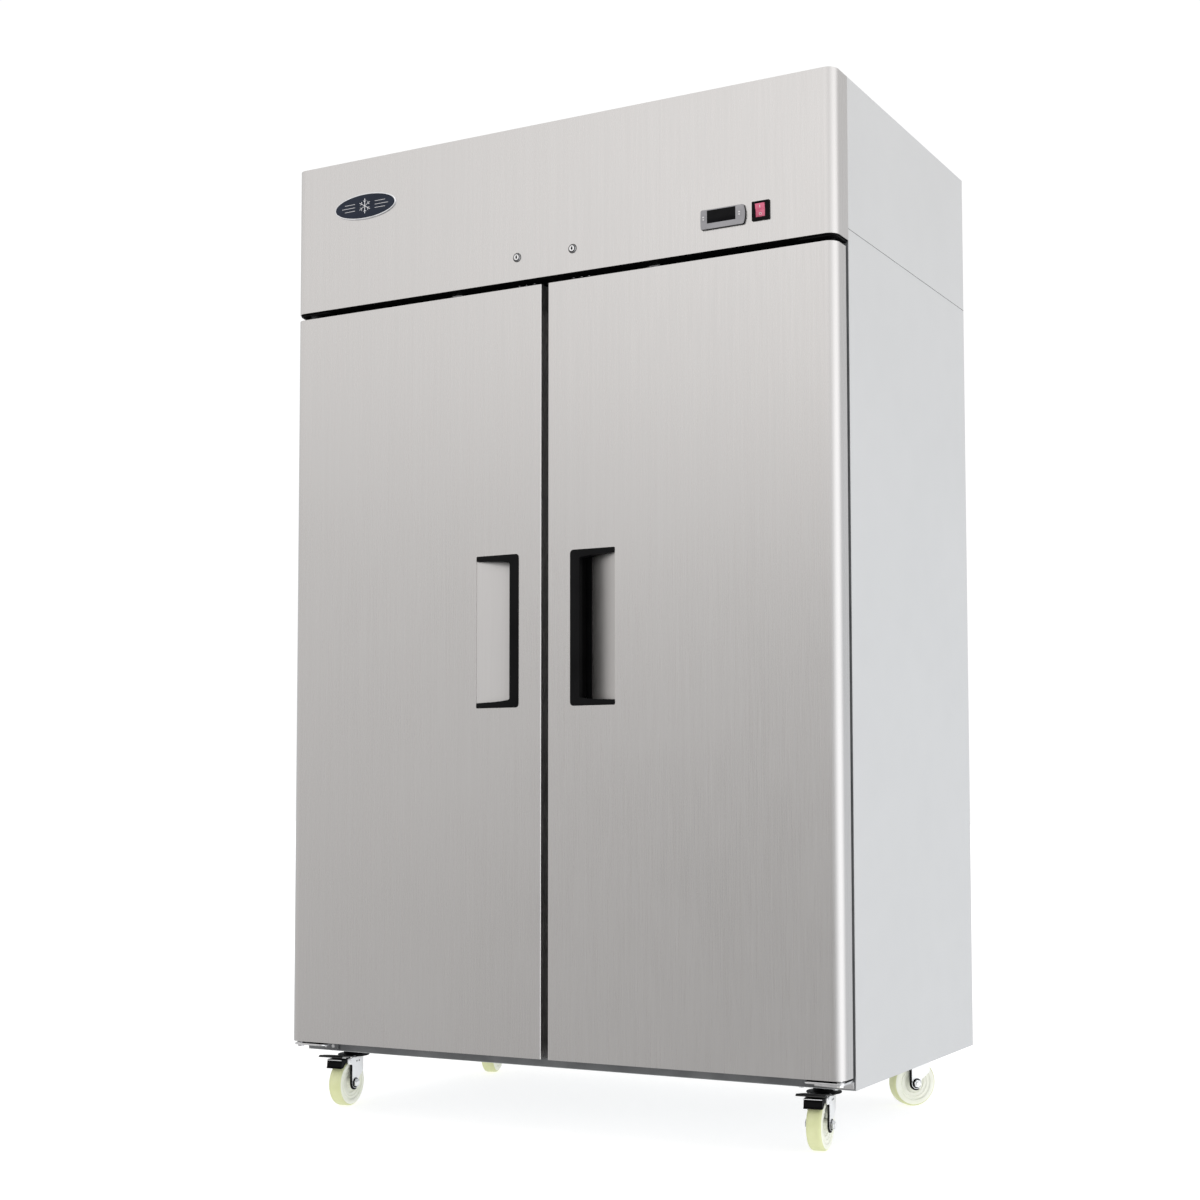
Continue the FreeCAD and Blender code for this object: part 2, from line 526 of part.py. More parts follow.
def caster_fork():
    """Swivel head, two legs and the axle bolt with its nut."""
    top = rod((0, 0, 107.0), (0, 0, 110.0), 32.0)
    cup = rod((0, 0, 110.0), (0, 0, 117.6), 22.0)
    bore = rod((0, 0, 100.0), (0, 0, 120.0), 6.0 + RUN)
    leg_outline = [(0, -56, 106.8), (0, -31.5, 106.8), (0, -31.5, 110), (0, 5, 110), (0, 5, 74),
                   (0, -TRAIL + 11, 58), (0, -TRAIL + 11, WHEEL_R), (0, -TRAIL - 11, WHEEL_R),
                   (0, -TRAIL - 11, 92.5), (0, -52, 92.5), (0, -56, 96)]
    legs = []
    for x in (19.5, -22.5):
        plate = prism(leg_outline, (x, 0, 0), (3.0, 0, 0))
        heel = rod((x, -TRAIL, WHEEL_R), (x + 3, -TRAIL, WHEEL_R), 11.0)
        legs += [plate, heel]
    axle_hole = rod((-30, -TRAIL, WHEEL_R), (30, -TRAIL, WHEEL_R), 5.0)
    pivot_hole = rod((-30, *PEDAL_PIVOT), (30, *PEDAL_PIVOT), 2.5)
    frame = cut(fuse([top, cup] + legs), [bore, axle_hole, pivot_hole])
    shaft = rod((-23, -TRAIL, WHEEL_R), (31, -TRAIL, WHEEL_R), 5.0)
    heads = [hexagon(x0, x1, 9.0) for x0, x1 in ((22.5, 29.5), (-28.0, -22.5))]
    return frame, fuse([shaft] + heads)


def hexagon(x0, x1, radius):
    points = [(x0, -TRAIL + radius * math.cos(math.radians(60 * i + 15)),
               WHEEL_R + radius * math.sin(math.radians(60 * i + 15))) for i in range(6)]
    return prism(points, (0, 0, 0), (x1 - x0, 0, 0))


def caster_wheel():
    """Nylon wheel: rounded tread, concentric side grooves and a hub around the axle."""
    h = WHEEL_W / 2
    profile = [(5.0 + RUN, -18.5), (12.0, -18.5), (12.0, -h + 3), (36.0, -h + 3), (38.0, -h),
               (WHEEL_R - 6, -h), (WHEEL_R, -h + 6), (WHEEL_R, h - 6), (WHEEL_R - 6, h), (38.0, h),
               (36.0, h - 3), (12.0, h - 3), (12.0, 18.5), (5.0 + RUN, 18.5)]
    outline = [Vector(x, r - TRAIL, WHEEL_R) for r, x in profile]
    face = Part.Face(Part.makePolygon(outline + outline[:1]))
    return face.revolve(Vector(0, -TRAIL, WHEEL_R), Vector(1, 0, 0), 360)


def brake_pedal():
    """Sloping foot plate with a drooped lip, pivot ears and the shoe that presses on the wheel."""
    profile = [(-30, -33.5, 107.6), (-30, -90, 112.6), (-30, -94, 110.4), (-30, -95, 112.7),
               (-30, -90.2, 115.1), (-30, -33.5, 110.1)]
    plate = prism(profile, (0, 0, 0), (60, 0, 0))
    ear_profile = [(16.6, -57.5, 109.0), (16.6, -57.5, 96), (16.6, -42, 95), (16.6, -42, 108.5)]
    ear = prism(ear_profile, (0, 0, 0), (2.5, 0, 0))
    stub = rod((16.6, *PEDAL_PIVOT), (22.3, *PEDAL_PIVOT), 2.5 - RUN)
    metal = fuse([plate] + both_sides(ear) + both_sides(stub))
    wheel_space = rod((-30, -TRAIL, WHEEL_R), (30, -TRAIL, WHEEL_R), WHEEL_R + 5.5)
    block = [(-19, -78, 88), (-19, -78, 111.2), (-19, -58, 109.5), (-19, -58, 88)]
    shoe = cut(prism(block, (0, 0, 0), (38, 0, 0)), [wheel_space])
    return [metal, shoe]


def casters():
    frame, bolt = caster_fork()
    wheel = caster_wheel()
    pedal = brake_pedal()
    for name in CASTERS:
        save("caster_fork_" + name, [place_caster(name, frame), place_caster(name, bolt)])
        save("caster_wheel_" + name, place_caster(name, wheel))
        if name.startswith("front"):
            save("brake_pedal_" + name, [place_caster(name, s) for s in pedal])


def main():
    os.makedirs("parts", exist_ok=True)
    case_panels()
    inner_liner()
    face_frame()
    hood_front()
    hood_sides_and_back()
    controller()
    power_switch()
    locks()
    compressor()
    condenser()
    deck_fittings()
    refrigerant_pipes()
    evaporator()
    shelf_standards()
    wire_shelves()
    lamp()
    door("right", lambda shape: shape)
    door("left", mirrored)
    door_hinges()
    caster_plates()
    casters()


main()
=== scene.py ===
"""Looks of the two-door reach-in refrigerator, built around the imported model."""
import bmesh
import bpy
import json
import math
import random
from mathutils import Matrix, Vector


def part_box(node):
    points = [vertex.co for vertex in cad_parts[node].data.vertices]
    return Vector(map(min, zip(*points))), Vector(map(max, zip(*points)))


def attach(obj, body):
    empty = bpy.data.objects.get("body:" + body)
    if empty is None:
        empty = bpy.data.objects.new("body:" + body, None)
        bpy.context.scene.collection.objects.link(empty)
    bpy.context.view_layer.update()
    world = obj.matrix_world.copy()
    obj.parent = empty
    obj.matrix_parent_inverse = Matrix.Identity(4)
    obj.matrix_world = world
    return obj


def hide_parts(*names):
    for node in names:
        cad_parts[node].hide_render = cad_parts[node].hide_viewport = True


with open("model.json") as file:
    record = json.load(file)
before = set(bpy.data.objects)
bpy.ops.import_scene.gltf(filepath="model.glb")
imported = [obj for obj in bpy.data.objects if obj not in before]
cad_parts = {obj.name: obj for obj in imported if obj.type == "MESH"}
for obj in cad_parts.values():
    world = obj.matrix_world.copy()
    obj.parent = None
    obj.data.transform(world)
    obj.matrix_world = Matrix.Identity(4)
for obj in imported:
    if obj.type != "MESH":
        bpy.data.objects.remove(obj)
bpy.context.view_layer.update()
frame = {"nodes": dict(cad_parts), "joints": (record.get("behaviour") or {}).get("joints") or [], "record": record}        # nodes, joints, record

NODES = frame["nodes"]
JOINTS = {j["name"]: j for j in frame["joints"]}
MM = 0.001

# how bright the white room is: (height, brightness), and beside the case also its warmth;
# height 0 is 30 degrees below the horizon, height 1 is 30 degrees above it
AHEAD = ((0.0, 0.42), (0.4, 0.48), (0.55, 0.62), (0.65, 0.84), (0.77, 1.30), (1.0, 1.22))
LEFTWARD = ((0.0, 0.56), (0.4, 0.66), (0.5, 0.77), (0.65, 0.76), (0.75, 1.10), (0.8, 0.95), (1.0, 0.93))
BESIDE = ((0.0, 0.80, -0.02), (0.6, 0.77, -0.03), (0.85, 0.72, 0.01), (1.0, 0.72, 0.01))
WINDOW_GLOW = 0.84


# ---- measures read from the frame, in millimetres ----
def in_mm(place):
    return Vector([c / MM for c in place])


def low(node):
    return in_mm(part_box(node)[0])


def high(node):
    return in_mm(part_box(node)[1])


def joint_place(name):
    return in_mm(JOINTS[name]["pos_m"])


DOOR_FRONT = low("door_skin_right").y
CASE_FRONT = low("side_panel_right").y
BACK = high("back_panel").y
HALF = high("side_panel_right").x
HOOD_BOTTOM = low("hood_front").z
HOOD_TOP = high("hood_front").z
SEAM = high("side_panel_right").z
DECK = high("deck_panel").z
CASTERS = ("front_left", "front_right", "rear_left", "rear_right")


# ---- materials ----
class Graph:
    """Short ways to add nodes to a node tree."""

    def __init__(self, tree):
        self.tree = tree

    def node(self, kind, **settings):
        made = self.tree.nodes.new(kind)
        for key, value in settings.items():
            setattr(made, key, value)
        return made

    def link(self, source, target):
        self.tree.links.new(source, target)

    def range(self, value, out_low, out_high, in_low=0.3, in_high=0.7):
        made = self.node("ShaderNodeMapRange")
        for key, number in (("From Min", in_low), ("From Max", in_high),
                            ("To Min", out_low), ("To Max", out_high)):
            made.inputs[key].default_value = number
        self.link(value, made.inputs["Value"])
        return made.outputs["Result"]

    def math(self, operation, first, second):
        made = self.node("ShaderNodeMath", operation=operation)
        for socket, value in zip(made.inputs, (first, second)):
            if isinstance(value, (int, float)):
                socket.default_value = value
            else:
                self.link(value, socket)
        return made.outputs[0]

    def mix(self, factor, first, second):
        made = self.node("ShaderNodeMix", data_type="RGBA")
        for key, value in (("A", first), ("B", second)):
            if isinstance(value, tuple):
                made.inputs[key].default_value = (*value, 1)
            else:
                self.link(value, made.inputs[key])
        self.link(factor, made.inputs["Factor"])
        return made.outputs["Result"]

    def ramp(self, value, stops):
        made = self.node("ShaderNodeValToRGB")
        elements = made.color_ramp.elements
        while len(elements) < len(stops):
            elements.new(0.5)
        for element, (position, colour) in zip(elements, stops):
            element.position = position
            element.color = (*colour, 1)
        self.link(value, made.inputs["Fac"])
        return made.outputs["Color"]


class Shader(Graph):
    """A material with a Principled shader."""

    def __init__(self, name, **constants):
        self.material = bpy.data.materials.new(name)
        self.material.use_nodes = True
        super().__init__(self.material.node_tree)
        self.surface = self.tree.nodes["Principled BSDF"]
        for socket, value in constants.items():
            self.surface.inputs[socket.replace("_", " ")].default_value = value
        self.place = self.node("ShaderNodeTexCoord").outputs["Object"]

    def stretched(self, scale, turn=(0, 0, 0)):
        mapping = self.node("ShaderNodeMapping")
        mapping.inputs["Scale"].default_value = scale
        mapping.inputs["Rotation"].default_value = turn
        self.link(self.place, mapping.inputs["Vector"])
        return mapping.outputs["Vector"]

    def noise(self, scale, detail=2.0, rough=0.5, vector=None):
        made = self.node("ShaderNodeTexNoise")
        made.inputs["Scale"].default_value = scale
        made.inputs["Detail"].default_value = detail
        made.inputs["Roughness"].default_value = rough
        self.link(vector or self.place, made.inputs["Vector"])
        return made.outputs["Fac"]

    def colour(self, factor, first, second):
        self.link(self.mix(factor, first, second), self.surface.inputs["Base Color"])

    def roughness(self, value):
        self.link(value, self.surface.inputs["Roughness"])

    def bump(self, height, strength, distance):
        made = self.node("ShaderNodeBump")
        made.inputs["Strength"].default_value = strength
        made.inputs["Distance"].default_value = distance
        self.link(height, made.inputs["Height"])
        self.link(made.outputs["Normal"], self.surface.inputs["Normal"])

    def add(self, first, second):
        return self.math("ADD", first, second)


def brushed_steel(name, dark, light, rough=(0.24, 0.34), grain=(900, 900, 9), bump=0.05):
    """Stainless sheet: long fine grain, soft clouds of tone and faint handling marks."""
    s = Shader(name, Metallic=1.0, Anisotropic=0.35)
    fine = s.noise(1.0, 3.0, 0.6, s.stretched(grain))
    broad = s.noise(1.0, 2.0, 0.5, s.stretched(tuple(g * 0.22 for g in grain)))
    clouds = s.noise(2.6, 3.0, 0.55)
    tone = s.add(s.add(s.range(fine, 0, 0.45), s.range(broad, 0, 0.25)), s.range(clouds, 0, 0.3))
    s.colour(tone, dark, light)
    s.roughness(s.add(s.range(fine, rough[0], rough[1]), s.range(clouds, -0.02, 0.03)))
    s.bump(fine, bump, 0.0004)
    return s.material


def coated_sheet(name, dark, light, rough=(0.35, 0.5), metallic=0.0, spangle=45.0, bump=0.03):
    """Pre-coated or galvanised sheet: crystal-like tone patches and a light orange peel."""
    s = Shader(name, Metallic=metallic)
    cells = s.node("ShaderNodeTexVoronoi")
    cells.inputs["Scale"].default_value = spangle
    s.link(s.place, cells.inputs["Vector"])
    clouds = s.noise(3.0, 4.0, 0.6)
    tone = s.add(s.range(cells.outputs["Distance"], 0, 0.5, 0.0, 0.8), s.range(clouds, 0, 0.5))
    s.colour(tone, dark, light)
    s.roughness(s.range(clouds, rough[0], rough[1]))
    s.bump(s.noise(700.0, 2.0), bump, 0.0003)
    return s.material


def moulded(name, dark, light, rough=(0.35, 0.55), grain=1400.0, bump=0.08, **extra):
    """Moulded plastic or rubber: fine leather grain and slightly uneven gloss."""
    s = Shader(name, **extra)
    clouds = s.noise(14.0, 3.0, 0.6)
    s.colour(s.range(clouds, 0, 1), dark, light)
    s.roughness(s.range(clouds, rough[0], rough[1]))
    s.bump(s.noise(grain, 2.0, 0.6), bump, 0.0002)
    return s.material


def plated(name, dark, light, rough=(0.1, 0.24), metallic=1.0):
    """Chrome or zinc plating with light scratches and duller patches."""
    s = Shader(name, Metallic=metallic)
    patches = s.noise(60.0, 4.0, 0.65)
    lines = s.noise(1.0, 3.0, 0.7, s.stretched((300, 40, 300), (0.3, 0.2, 0.5)))
    s.colour(s.range(patches, 0, 1), dark, light)
    s.roughness(s.add(s.range(patches, rough[0], rough[1]), s.range(lines, 0, 0.06)))
    s.bump(lines, 0.06, 0.0003)
    return s.material


def glossy(name, dark, light, rough=(0.05, 0.12), **extra):
    """Polished plastic or glass with faint smears."""
    s = Shader(name, **extra)
    smears = s.noise(35.0, 4.0, 0.6)
    s.colour(s.range(smears, 0, 1), dark, light)
    s.roughness(s.range(smears, rough[0], rough[1]))
    return s.material


def fins_material():
    """Aluminium fins: brighter and duller places by noise, painted sheen standing in for slightly bent fins.
    """
    s = Shader("fin_stack_painted_sheen", Metallic=1.0)
    painted_sheen = s.noise(30.0, 2.0)
    s.colour(s.range(painted_sheen, 0, 1), (0.52, 0.53, 0.54), (0.74, 0.75, 0.76))
    s.roughness(s.range(painted_sheen, 0.3, 0.5))
    return s.material


MAT = {
    "front": brushed_steel("stainless_brushed_front", (0.605, 0.59, 0.583), (0.655, 0.643, 0.637)),
    "pocket": brushed_steel("stainless_pocket", (0.63, 0.61, 0.60), (0.67, 0.655, 0.645), (0.36, 0.42),
                            bump=0.02),
    "inner": brushed_steel("stainless_liner", (0.62, 0.63, 0.64), (0.74, 0.75, 0.76), (0.3, 0.4),
                           (700, 12, 700)),
    "pan": brushed_steel("door_pan_steel", (0.42, 0.43, 0.435), (0.50, 0.51, 0.515), (0.36, 0.44),
                         (700, 12, 700)),
    "side": coated_sheet("side_sheet", (0.665, 0.670, 0.676), (0.685, 0.690, 0.696), (0.34, 0.38), 0.55,
                         14.0, 0.012),
    "galvanised": coated_sheet("galvanised_sheet", (0.50, 0.52, 0.53), (0.66, 0.68, 0.69),
                               (0.35, 0.55), 0.8, 60.0),
    # dark grey face frame; the same material is painted shade on the left hinge flange
    "frame": moulded("face_frame_grey_and_painted_shade", (0.10, 0.105, 0.11), (0.16, 0.165, 0.17)),
    "foam": moulded("rigid_foam", (0.80, 0.70, 0.42), (0.92, 0.84, 0.58), (0.8, 0.95), 300.0, 0.5),
    # black moulding, also used as painted shade: under the hood, in key slots and shelf slots, at the lock
    # collars, on caster forks and upper hinges
    "black_and_painted_shade": moulded("black_moulding_and_painted_shade", (0.003, 0.003, 0.0034), (0.0055, 0.0055, 0.006), (0.42, 0.55),
                     Specular_IOR_Level=0.07),
    "bezel": moulded("bezel_moulding", (0.24, 0.235, 0.25), (0.32, 0.315, 0.33), (0.35, 0.5)),
    "display": glossy("display_window", (0.002, 0.002, 0.002), (0.004, 0.004, 0.005),
                      Specular_IOR_Level=0.08),
    "red": glossy("rocker_lens", (0.42, 0.06, 0.12), (0.70, 0.17, 0.27), (0.12, 0.2)),
    "mark": moulded("printed_mark", (0.72, 0.70, 0.70), (0.86, 0.84, 0.84)),
    "lamp": glossy("lamp_diffuser", (0.86, 0.87, 0.84), (0.95, 0.95, 0.92), (0.25, 0.4)),
    "gasket": moulded("gasket_rubber", (0.035, 0.036, 0.038), (0.07, 0.072, 0.075), (0.45, 0.6)),
    "core": plated("lock_core", (0.09, 0.09, 0.095), (0.20, 0.20, 0.21)),
    "steel_shade": plated("satin_lock_chrome", (0.30, 0.30, 0.31), (0.42, 0.42, 0.43)),
    "chrome": plated("bright_chrome", (0.72, 0.72, 0.73), (0.86, 0.86, 0.87)),
    "zinc": plated("zinc_plating", (0.68, 0.69, 0.70), (0.84, 0.85, 0.86), (0.16, 0.32)),
    # zinc plating lightened to near white and made less metallic: painted light on the fork legs and a
    # painted highlight on the brake shoes
    "zinc_painted_light": plated("zinc_lightened_painted_light", (0.90, 0.905, 0.91), (0.94, 0.945, 0.95), (0.28, 0.33), 0.35),
    # paler copy of the cream nylon for the wheel's sides: painted light from the side lighting
    "web": moulded("nylon_web_painted_light", (0.84, 0.86, 0.72), (0.92, 0.93, 0.84), (0.28, 0.42), 500.0, 0.05),
    "nylon": moulded("cream_nylon", (0.62, 0.65, 0.34), (0.73, 0.755, 0.46), (0.28, 0.42), 500.0,
                     0.05),
    "brake": plated("black_brake", (0.012, 0.012, 0.012), (0.03, 0.03, 0.03), (0.3, 0.45), 0.3),
    "enamel": moulded("compressor_enamel", (0.012, 0.012, 0.013), (0.03, 0.03, 0.032), (0.2, 0.35),
                      500.0, 0.1, Coat_Weight=0.4),
    "fins": fins_material(),
    "copper": plated("copper_tube", (0.55, 0.24, 0.13), (0.82, 0.46, 0.30), (0.2, 0.4)),
    "fan": moulded("fan_moulding", (0.02, 0.02, 0.022), (0.05, 0.05, 0.055)),
    "wire": plated("coated_wire", (0.70, 0.71, 0.71), (0.84, 0.85, 0.85), (0.25, 0.4), 0.5),
    "navy": glossy("badge_field", (0.008, 0.012, 0.024), (0.014, 0.020, 0.036), (0.2, 0.3),
                   Specular_IOR_Level=0.2),
    "rim": plated("badge_rim", (0.70, 0.71, 0.73), (0.88, 0.88, 0.90), (0.12, 0.22)),
}

SLOT_LOOK = {
    "stainless_front": "front", "stainless_side": "side", "stainless_inner": "inner",
    "galvanised_sheet": "galvanised", "frame_grey": "frame", "insulation_foam": "foam",
    "black_plastic": "black_and_painted_shade", "bezel_grey": "bezel", "display_black": "display",
    "rocker_red": "red", "lamp_white": "lamp", "rubber_grey": "gasket", "lock_chrome": "chrome",
    "hinge_chrome": "chrome", "zinc_plate": "zinc", "nylon_cream": "nylon", "brake_black": "brake",
    "compressor_black": "enamel", "coil_aluminium": "fins", "copper_pipe": "copper",
    "fan_plastic": "fan", "shelf_wire": "wire",
}


def dress_nodes():
    """Gives each node the look of its material slot."""
    for part in frame["record"]["subparts"]:
        look = MAT[SLOT_LOOK[part["material_slot"]]]
        if part["node"].startswith("handle_pocket"):
            look = MAT["pocket"]
        node = NODES[part["node"]]
        for slot in node.material_slots:
            slot.material = look


# ---- light, floor and camera ----
def grey(level, warmth=0.0):
    return (level * (1 + warmth), level, level * (1 - warmth))


def studio():
    """White room, brighter or darker by height: ahead of the doors, to the left and beside the case."""
    world = bpy.data.worlds.new("studio")
    bpy.context.scene.world = world
    world.use_nodes = True
    g = Graph(world.node_tree)
    direction = g.node("ShaderNodeTexCoord").outputs["Generated"]
    split = g.node("ShaderNodeSeparateXYZ")
    g.link(direction, split.inputs[0])
    height = g.range(split.outputs["Z"], 0, 1, -0.5, 0.5)
    level = g.node("ShaderNodeVectorMath", operation="MULTIPLY")
    level.inputs[1].default_value = (1, 1, 0)
    g.link(direction, level.inputs[0])
    heading = g.node("ShaderNodeVectorMath", operation="NORMALIZE")
    g.link(level.outputs[0], heading.inputs[0])
    compass = g.node("ShaderNodeSeparateXYZ")
    g.link(heading.outputs[0], compass.inputs[0])
    ahead = g.ramp(height, [(p, grey(v, 0.008)) for p, v in AHEAD])
    leftward = g.ramp(height, [(p, grey(v, 0.010)) for p, v in LEFTWARD])
    beside = g.ramp(height, [(p, grey(v, w)) for p, v, w in BESIDE])
    front = g.mix(g.range(compass.outputs["X"], 0, 1, -0.45, -0.60), ahead, leftward)
    room = g.mix(g.range(compass.outputs["X"], 0, 1, 0.0, 0.95), front, beside)
    room = g.mix(g.range(compass.outputs["Y"], 0, 1, -0.2, 0.4), room, beside)
    toward = g.node("ShaderNodeVectorMath", operation="DOT_PRODUCT")
    toward.inputs[1].default_value = (0.996, -0.087, 0)
    g.link(direction, toward.inputs[0])
    window = g.range(toward.outputs["Value"], 0, 1, 0.3, 0.97)
    glow = g.math("MULTIPLY", g.math("POWER", window, 2.0), WINDOW_GLOW)
    lit = g.node("ShaderNodeMix", data_type="RGBA", blend_type="ADD")
    lit.inputs["Factor"].default_value = 1.0
    g.link(room, lit.inputs["A"])
    g.link(glow, lit.inputs["B"])
    seen = g.node("ShaderNodeLightPath").outputs["Is Camera Ray"]
    background = g.tree.nodes["Background"]
    g.link(g.mix(seen, lit.outputs["Result"], (1.03, 1.03, 1.03)), background.inputs["Color"])
    bpy.context.scene.view_settings.view_transform = "Standard"


def floor():
    """Pale floor with some light of its own, which keeps the shadow faint."""
    mesh = bpy.data.meshes.new("floor")
    reach = 30.0
    mesh.from_pydata([(-reach, -reach, 0), (reach, -reach, 0), (reach, reach, 0), (-reach, reach, 0)],
                     [], [(0, 1, 2, 3)])
    plane = bpy.data.objects.new("floor", mesh)
    bpy.context.collection.objects.link(plane)
    s = Shader("floor_white", Roughness=0.9)
    s.surface.inputs["Base Color"].default_value = (0.60, 0.60, 0.60, 1)
    s.surface.inputs["Emission Color"].default_value = (1, 1, 1, 1)
    s.surface.inputs["Emission Strength"].default_value = 0.64
    plane.data.materials.append(s.material)
    plane.visible_glossy = False


def camera():
    """Low three-quarter view from the front right, nearly level."""
    data = bpy.data.cameras.new("camera")
    data.sensor_width = 36.0
    data.lens = 54.41
    data.shift_x = -0.0767
    data.shift_y = 0.0671
    data.clip_end = 100.0
    yaw, pitch, roll = (math.radians(a) for a in (27.228, 3.43, -0.223))
    forward = Vector((-math.sin(yaw) * math.cos(pitch), math.cos(yaw) * math.cos(pitch), math.sin(pitch)))
    right = Vector((math.cos(yaw), math.sin(yaw), 0))
    up = right.cross(forward)
    side = math.cos(roll) * right + math.sin(roll) * up
    top = -math.sin(roll) * right + math.cos(roll) * up
    view = bpy.data.objects.new("camera", data)
    eye = (1.9798, DOOR_FRONT * MM - 3.181, 0.7009)
    view.matrix_world = Matrix.Translation(eye) @ Matrix((side, top, -forward)).transposed().to_4x4()
    bpy.context.collection.objects.link(view)
    bpy.context.scene.camera = view


# ---- drawing helpers: they take millimetres and make meshes in metres ----
UP, DOWN = (0, 0, 1), (0, 0, -1)
TO_FRONT, TO_BACK = (0, -1, 0), (0, 1, 0)
ACROSS = (1, 0, 0)
SIDES = (("right", 1), ("left", -1))


def piece(name, bm, looks, body):
    """Turns a finished drawing into an object that rides on its body."""
    bmesh.ops.recalc_face_normals(bm, faces=bm.faces)
    mesh = bpy.data.meshes.new(name)
    bm.to_mesh(mesh)
    bm.free()
    made = bpy.data.objects.new(name, mesh)
    bpy.context.collection.objects.link(made)
    for look in looks:
        mesh.materials.append(MAT[look])
    mesh.set_sharp_from_angle(angle=math.radians(35))
    for polygon in mesh.polygons:
        polygon.use_smooth = True
    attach(made, body)
    return made


def add_ring(bm, points):
    """Vertices at the points, in their order."""
    return [bm.verts.new([c * MM for c in point]) for point in points]


def bridge(bm, first, second, material=0):
    """Quads between two rings of the same length."""
    for i in range(len(first)):
        j = (i + 1) % len(first)
        bm.faces.new([first[i], first[j], second[j], second[i]]).material_index = material


def soften(bm, edges, bevel, segments=2, material=0):
    """Rounds the edges."""
    made = bmesh.ops.bevel(bm, geom=edges, offset=bevel * MM, segments=segments, affect="EDGES",
                           profile=0.5, clamp_overlap=True)
    for f in made["faces"]:
        f.material_index = material


def add_box(bm, lo, hi, bevel=0.0, segments=2, material=0):
    verts = bmesh.ops.create_cube(bm, size=1.0)["verts"]
    for v in verts:
        v.co = [MM * (lo[i] + (hi[i] - lo[i]) * (v.co[i] + 0.5)) for i in range(3)]
    for f in {f for v in verts for f in v.link_faces}:
        f.material_index = material
    if bevel > 0:
        soften(bm, list({e for v in verts for e in v.link_edges}), bevel, segments, material)


def add_lathe(bm, profile, centre, axis, steps=32, material=0):
    """Turns (radius, height) points about axis through centre."""
    axis = Vector(axis)
    side = axis.orthogonal().normalized()
    other = axis.cross(side)
    rings = []
    for radius, height in profile:
        base = Vector(centre) + axis * height
        turns = [2 * math.pi * i / steps for i in range(steps)] if radius > 0 else [0.0]
        spokes = [math.cos(a) * side + math.sin(a) * other for a in turns]
        rings.append(add_ring(bm, [base + radius * spoke for spoke in spokes]))
    for a, b in zip(rings, rings[1:]):
        for i in range(steps):
            j = (i + 1) % steps
            corners = [a[i % len(a)], a[j % len(a)], b[j % len(b)], b[i % len(b)]]
            unique = list(dict.fromkeys(corners))
            if len(unique) > 2:
                bm.faces.new(unique).material_index = material


def add_plate(bm, outline, lo, hi, plane="xz", bevel=0.0, material=0):
    """A flat outline with thickness along the axis that its plane leaves out."""
    order = {"xz": (0, 2, 1), "yz": (2, 0, 1), "xy": (0, 1, 2)}[plane]
    bottom, top = (add_ring(bm, [[(u, v, w)[k] for k in order] for u, v in outline]) for w in (lo, hi))
    faces = [bm.faces.new(bottom), bm.faces.new(list(reversed(top)))]
    for i in range(len(outline)):
        j = (i + 1) % len(outline)
        faces.append(bm.faces.new([bottom[i], top[i], top[j], bottom[j]]))
    for f in faces:
        f.material_index = material
    if bevel > 0:
        soften(bm, [e for f in faces[:2] for e in f.edges], bevel, 2, material)


def add_tube(bm, points, radius, steps=10, closed=False, material=0):
    """Round wire through the points with mitred corners."""
    points = [Vector([c * MM for c in p]) for p in points]
    count = len(points)
    rings = []
    normal = None
    for i, p in enumerate(points):
        before = points[i - 1] if (i > 0 or closed) else p
        after = points[(i + 1) % count] if (i < count - 1 or closed) else p
        along = (after - before).normalized()
        if normal is None:
            normal = along.orthogonal().normalized()
        normal = (normal - along * normal.dot(along)).normalized()
        other = along.cross(normal)
        turns = [2 * math.pi * k / steps for k in range(steps)]
        spokes = [math.cos(a) * normal + math.sin(a) * other for a in turns]
        rings.append([bm.verts.new(p + radius * MM * spoke) for spoke in spokes])
    for a, b in zip(rings, rings[1:] + rings[:1] if closed else rings[1:]):
        bridge(bm, a, b, material)
    if not closed:
        for ring in (rings[0], rings[-1]):
            bm.faces.new(ring).material_index = material


def add_screw(bm, centre, axis, radius, material=0):
    """Pan head with a washer face and a small recess."""
    head = [(1.25, 0), (1.25, 0.12), (1, 0.14), (0.96, 0.34), (0.7, 0.52), (0.3, 0.6), (0.22, 0.34), (0, 0.3)]
    add_lathe(bm, [(r * radius, h * radius) for r, h in head], centre, axis, 16, material)


def add_hex(bm, centre, axis, across, height, material=0):
    """Hexagon head with a chamfered top and a washer under it."""
    r = across / 2 / math.cos(math.radians(30))
    seat = height * 0.15
    add_lathe(bm, [(0, 0), (r * 1.3, 0), (r * 1.3, seat), (r, seat)], centre, axis, 24, material)
    add_lathe(bm, [(r, seat), (r, height * 0.85), (r * 0.86, height), (0, height)], centre, axis, 6, material)


def arc(cx, cz, radius, first, last, steps=6):
    """Points of an arc between two angles in degrees."""
    turns = [math.radians(first + (last - first) * i / steps) for i in range(steps + 1)]
    return [(cx + radius * math.cos(a), cz + radius * math.sin(a)) for a in turns]


def circle(x, y, z, radius, steps):
    """Points of an upright circle that faces the front."""
    return [(u, y, v) for u, v in arc(x, z, radius, 0, 360, steps)[:-1]]


def rounded_outline(x0, x1, z0, z1, radii, steps=6):
    """Corners in the order lower-left, lower-right, upper-right, upper-left."""
    a, b, c, d = radii
    lower = arc(x0 + a, z0 + a, a, 180, 270, steps) + arc(x1 - b, z0 + b, b, 270, 360, steps)
    return lower + arc(x1 - c, z1 - c, c, 0, 90, steps) + arc(x0 + d, z1 - d, d, 90, 180, steps)


def shrunk(outline, amount, cx, cz):
    """The outline with every point moved towards the middle lines by the same amount."""
    return [(u + (amount if u < cx else -amount), v + (amount if v < cz else -amount)) for u, v in outline]


def mirror_x(bm):
    for v in bm.verts:
        v.co.x = -v.co.x


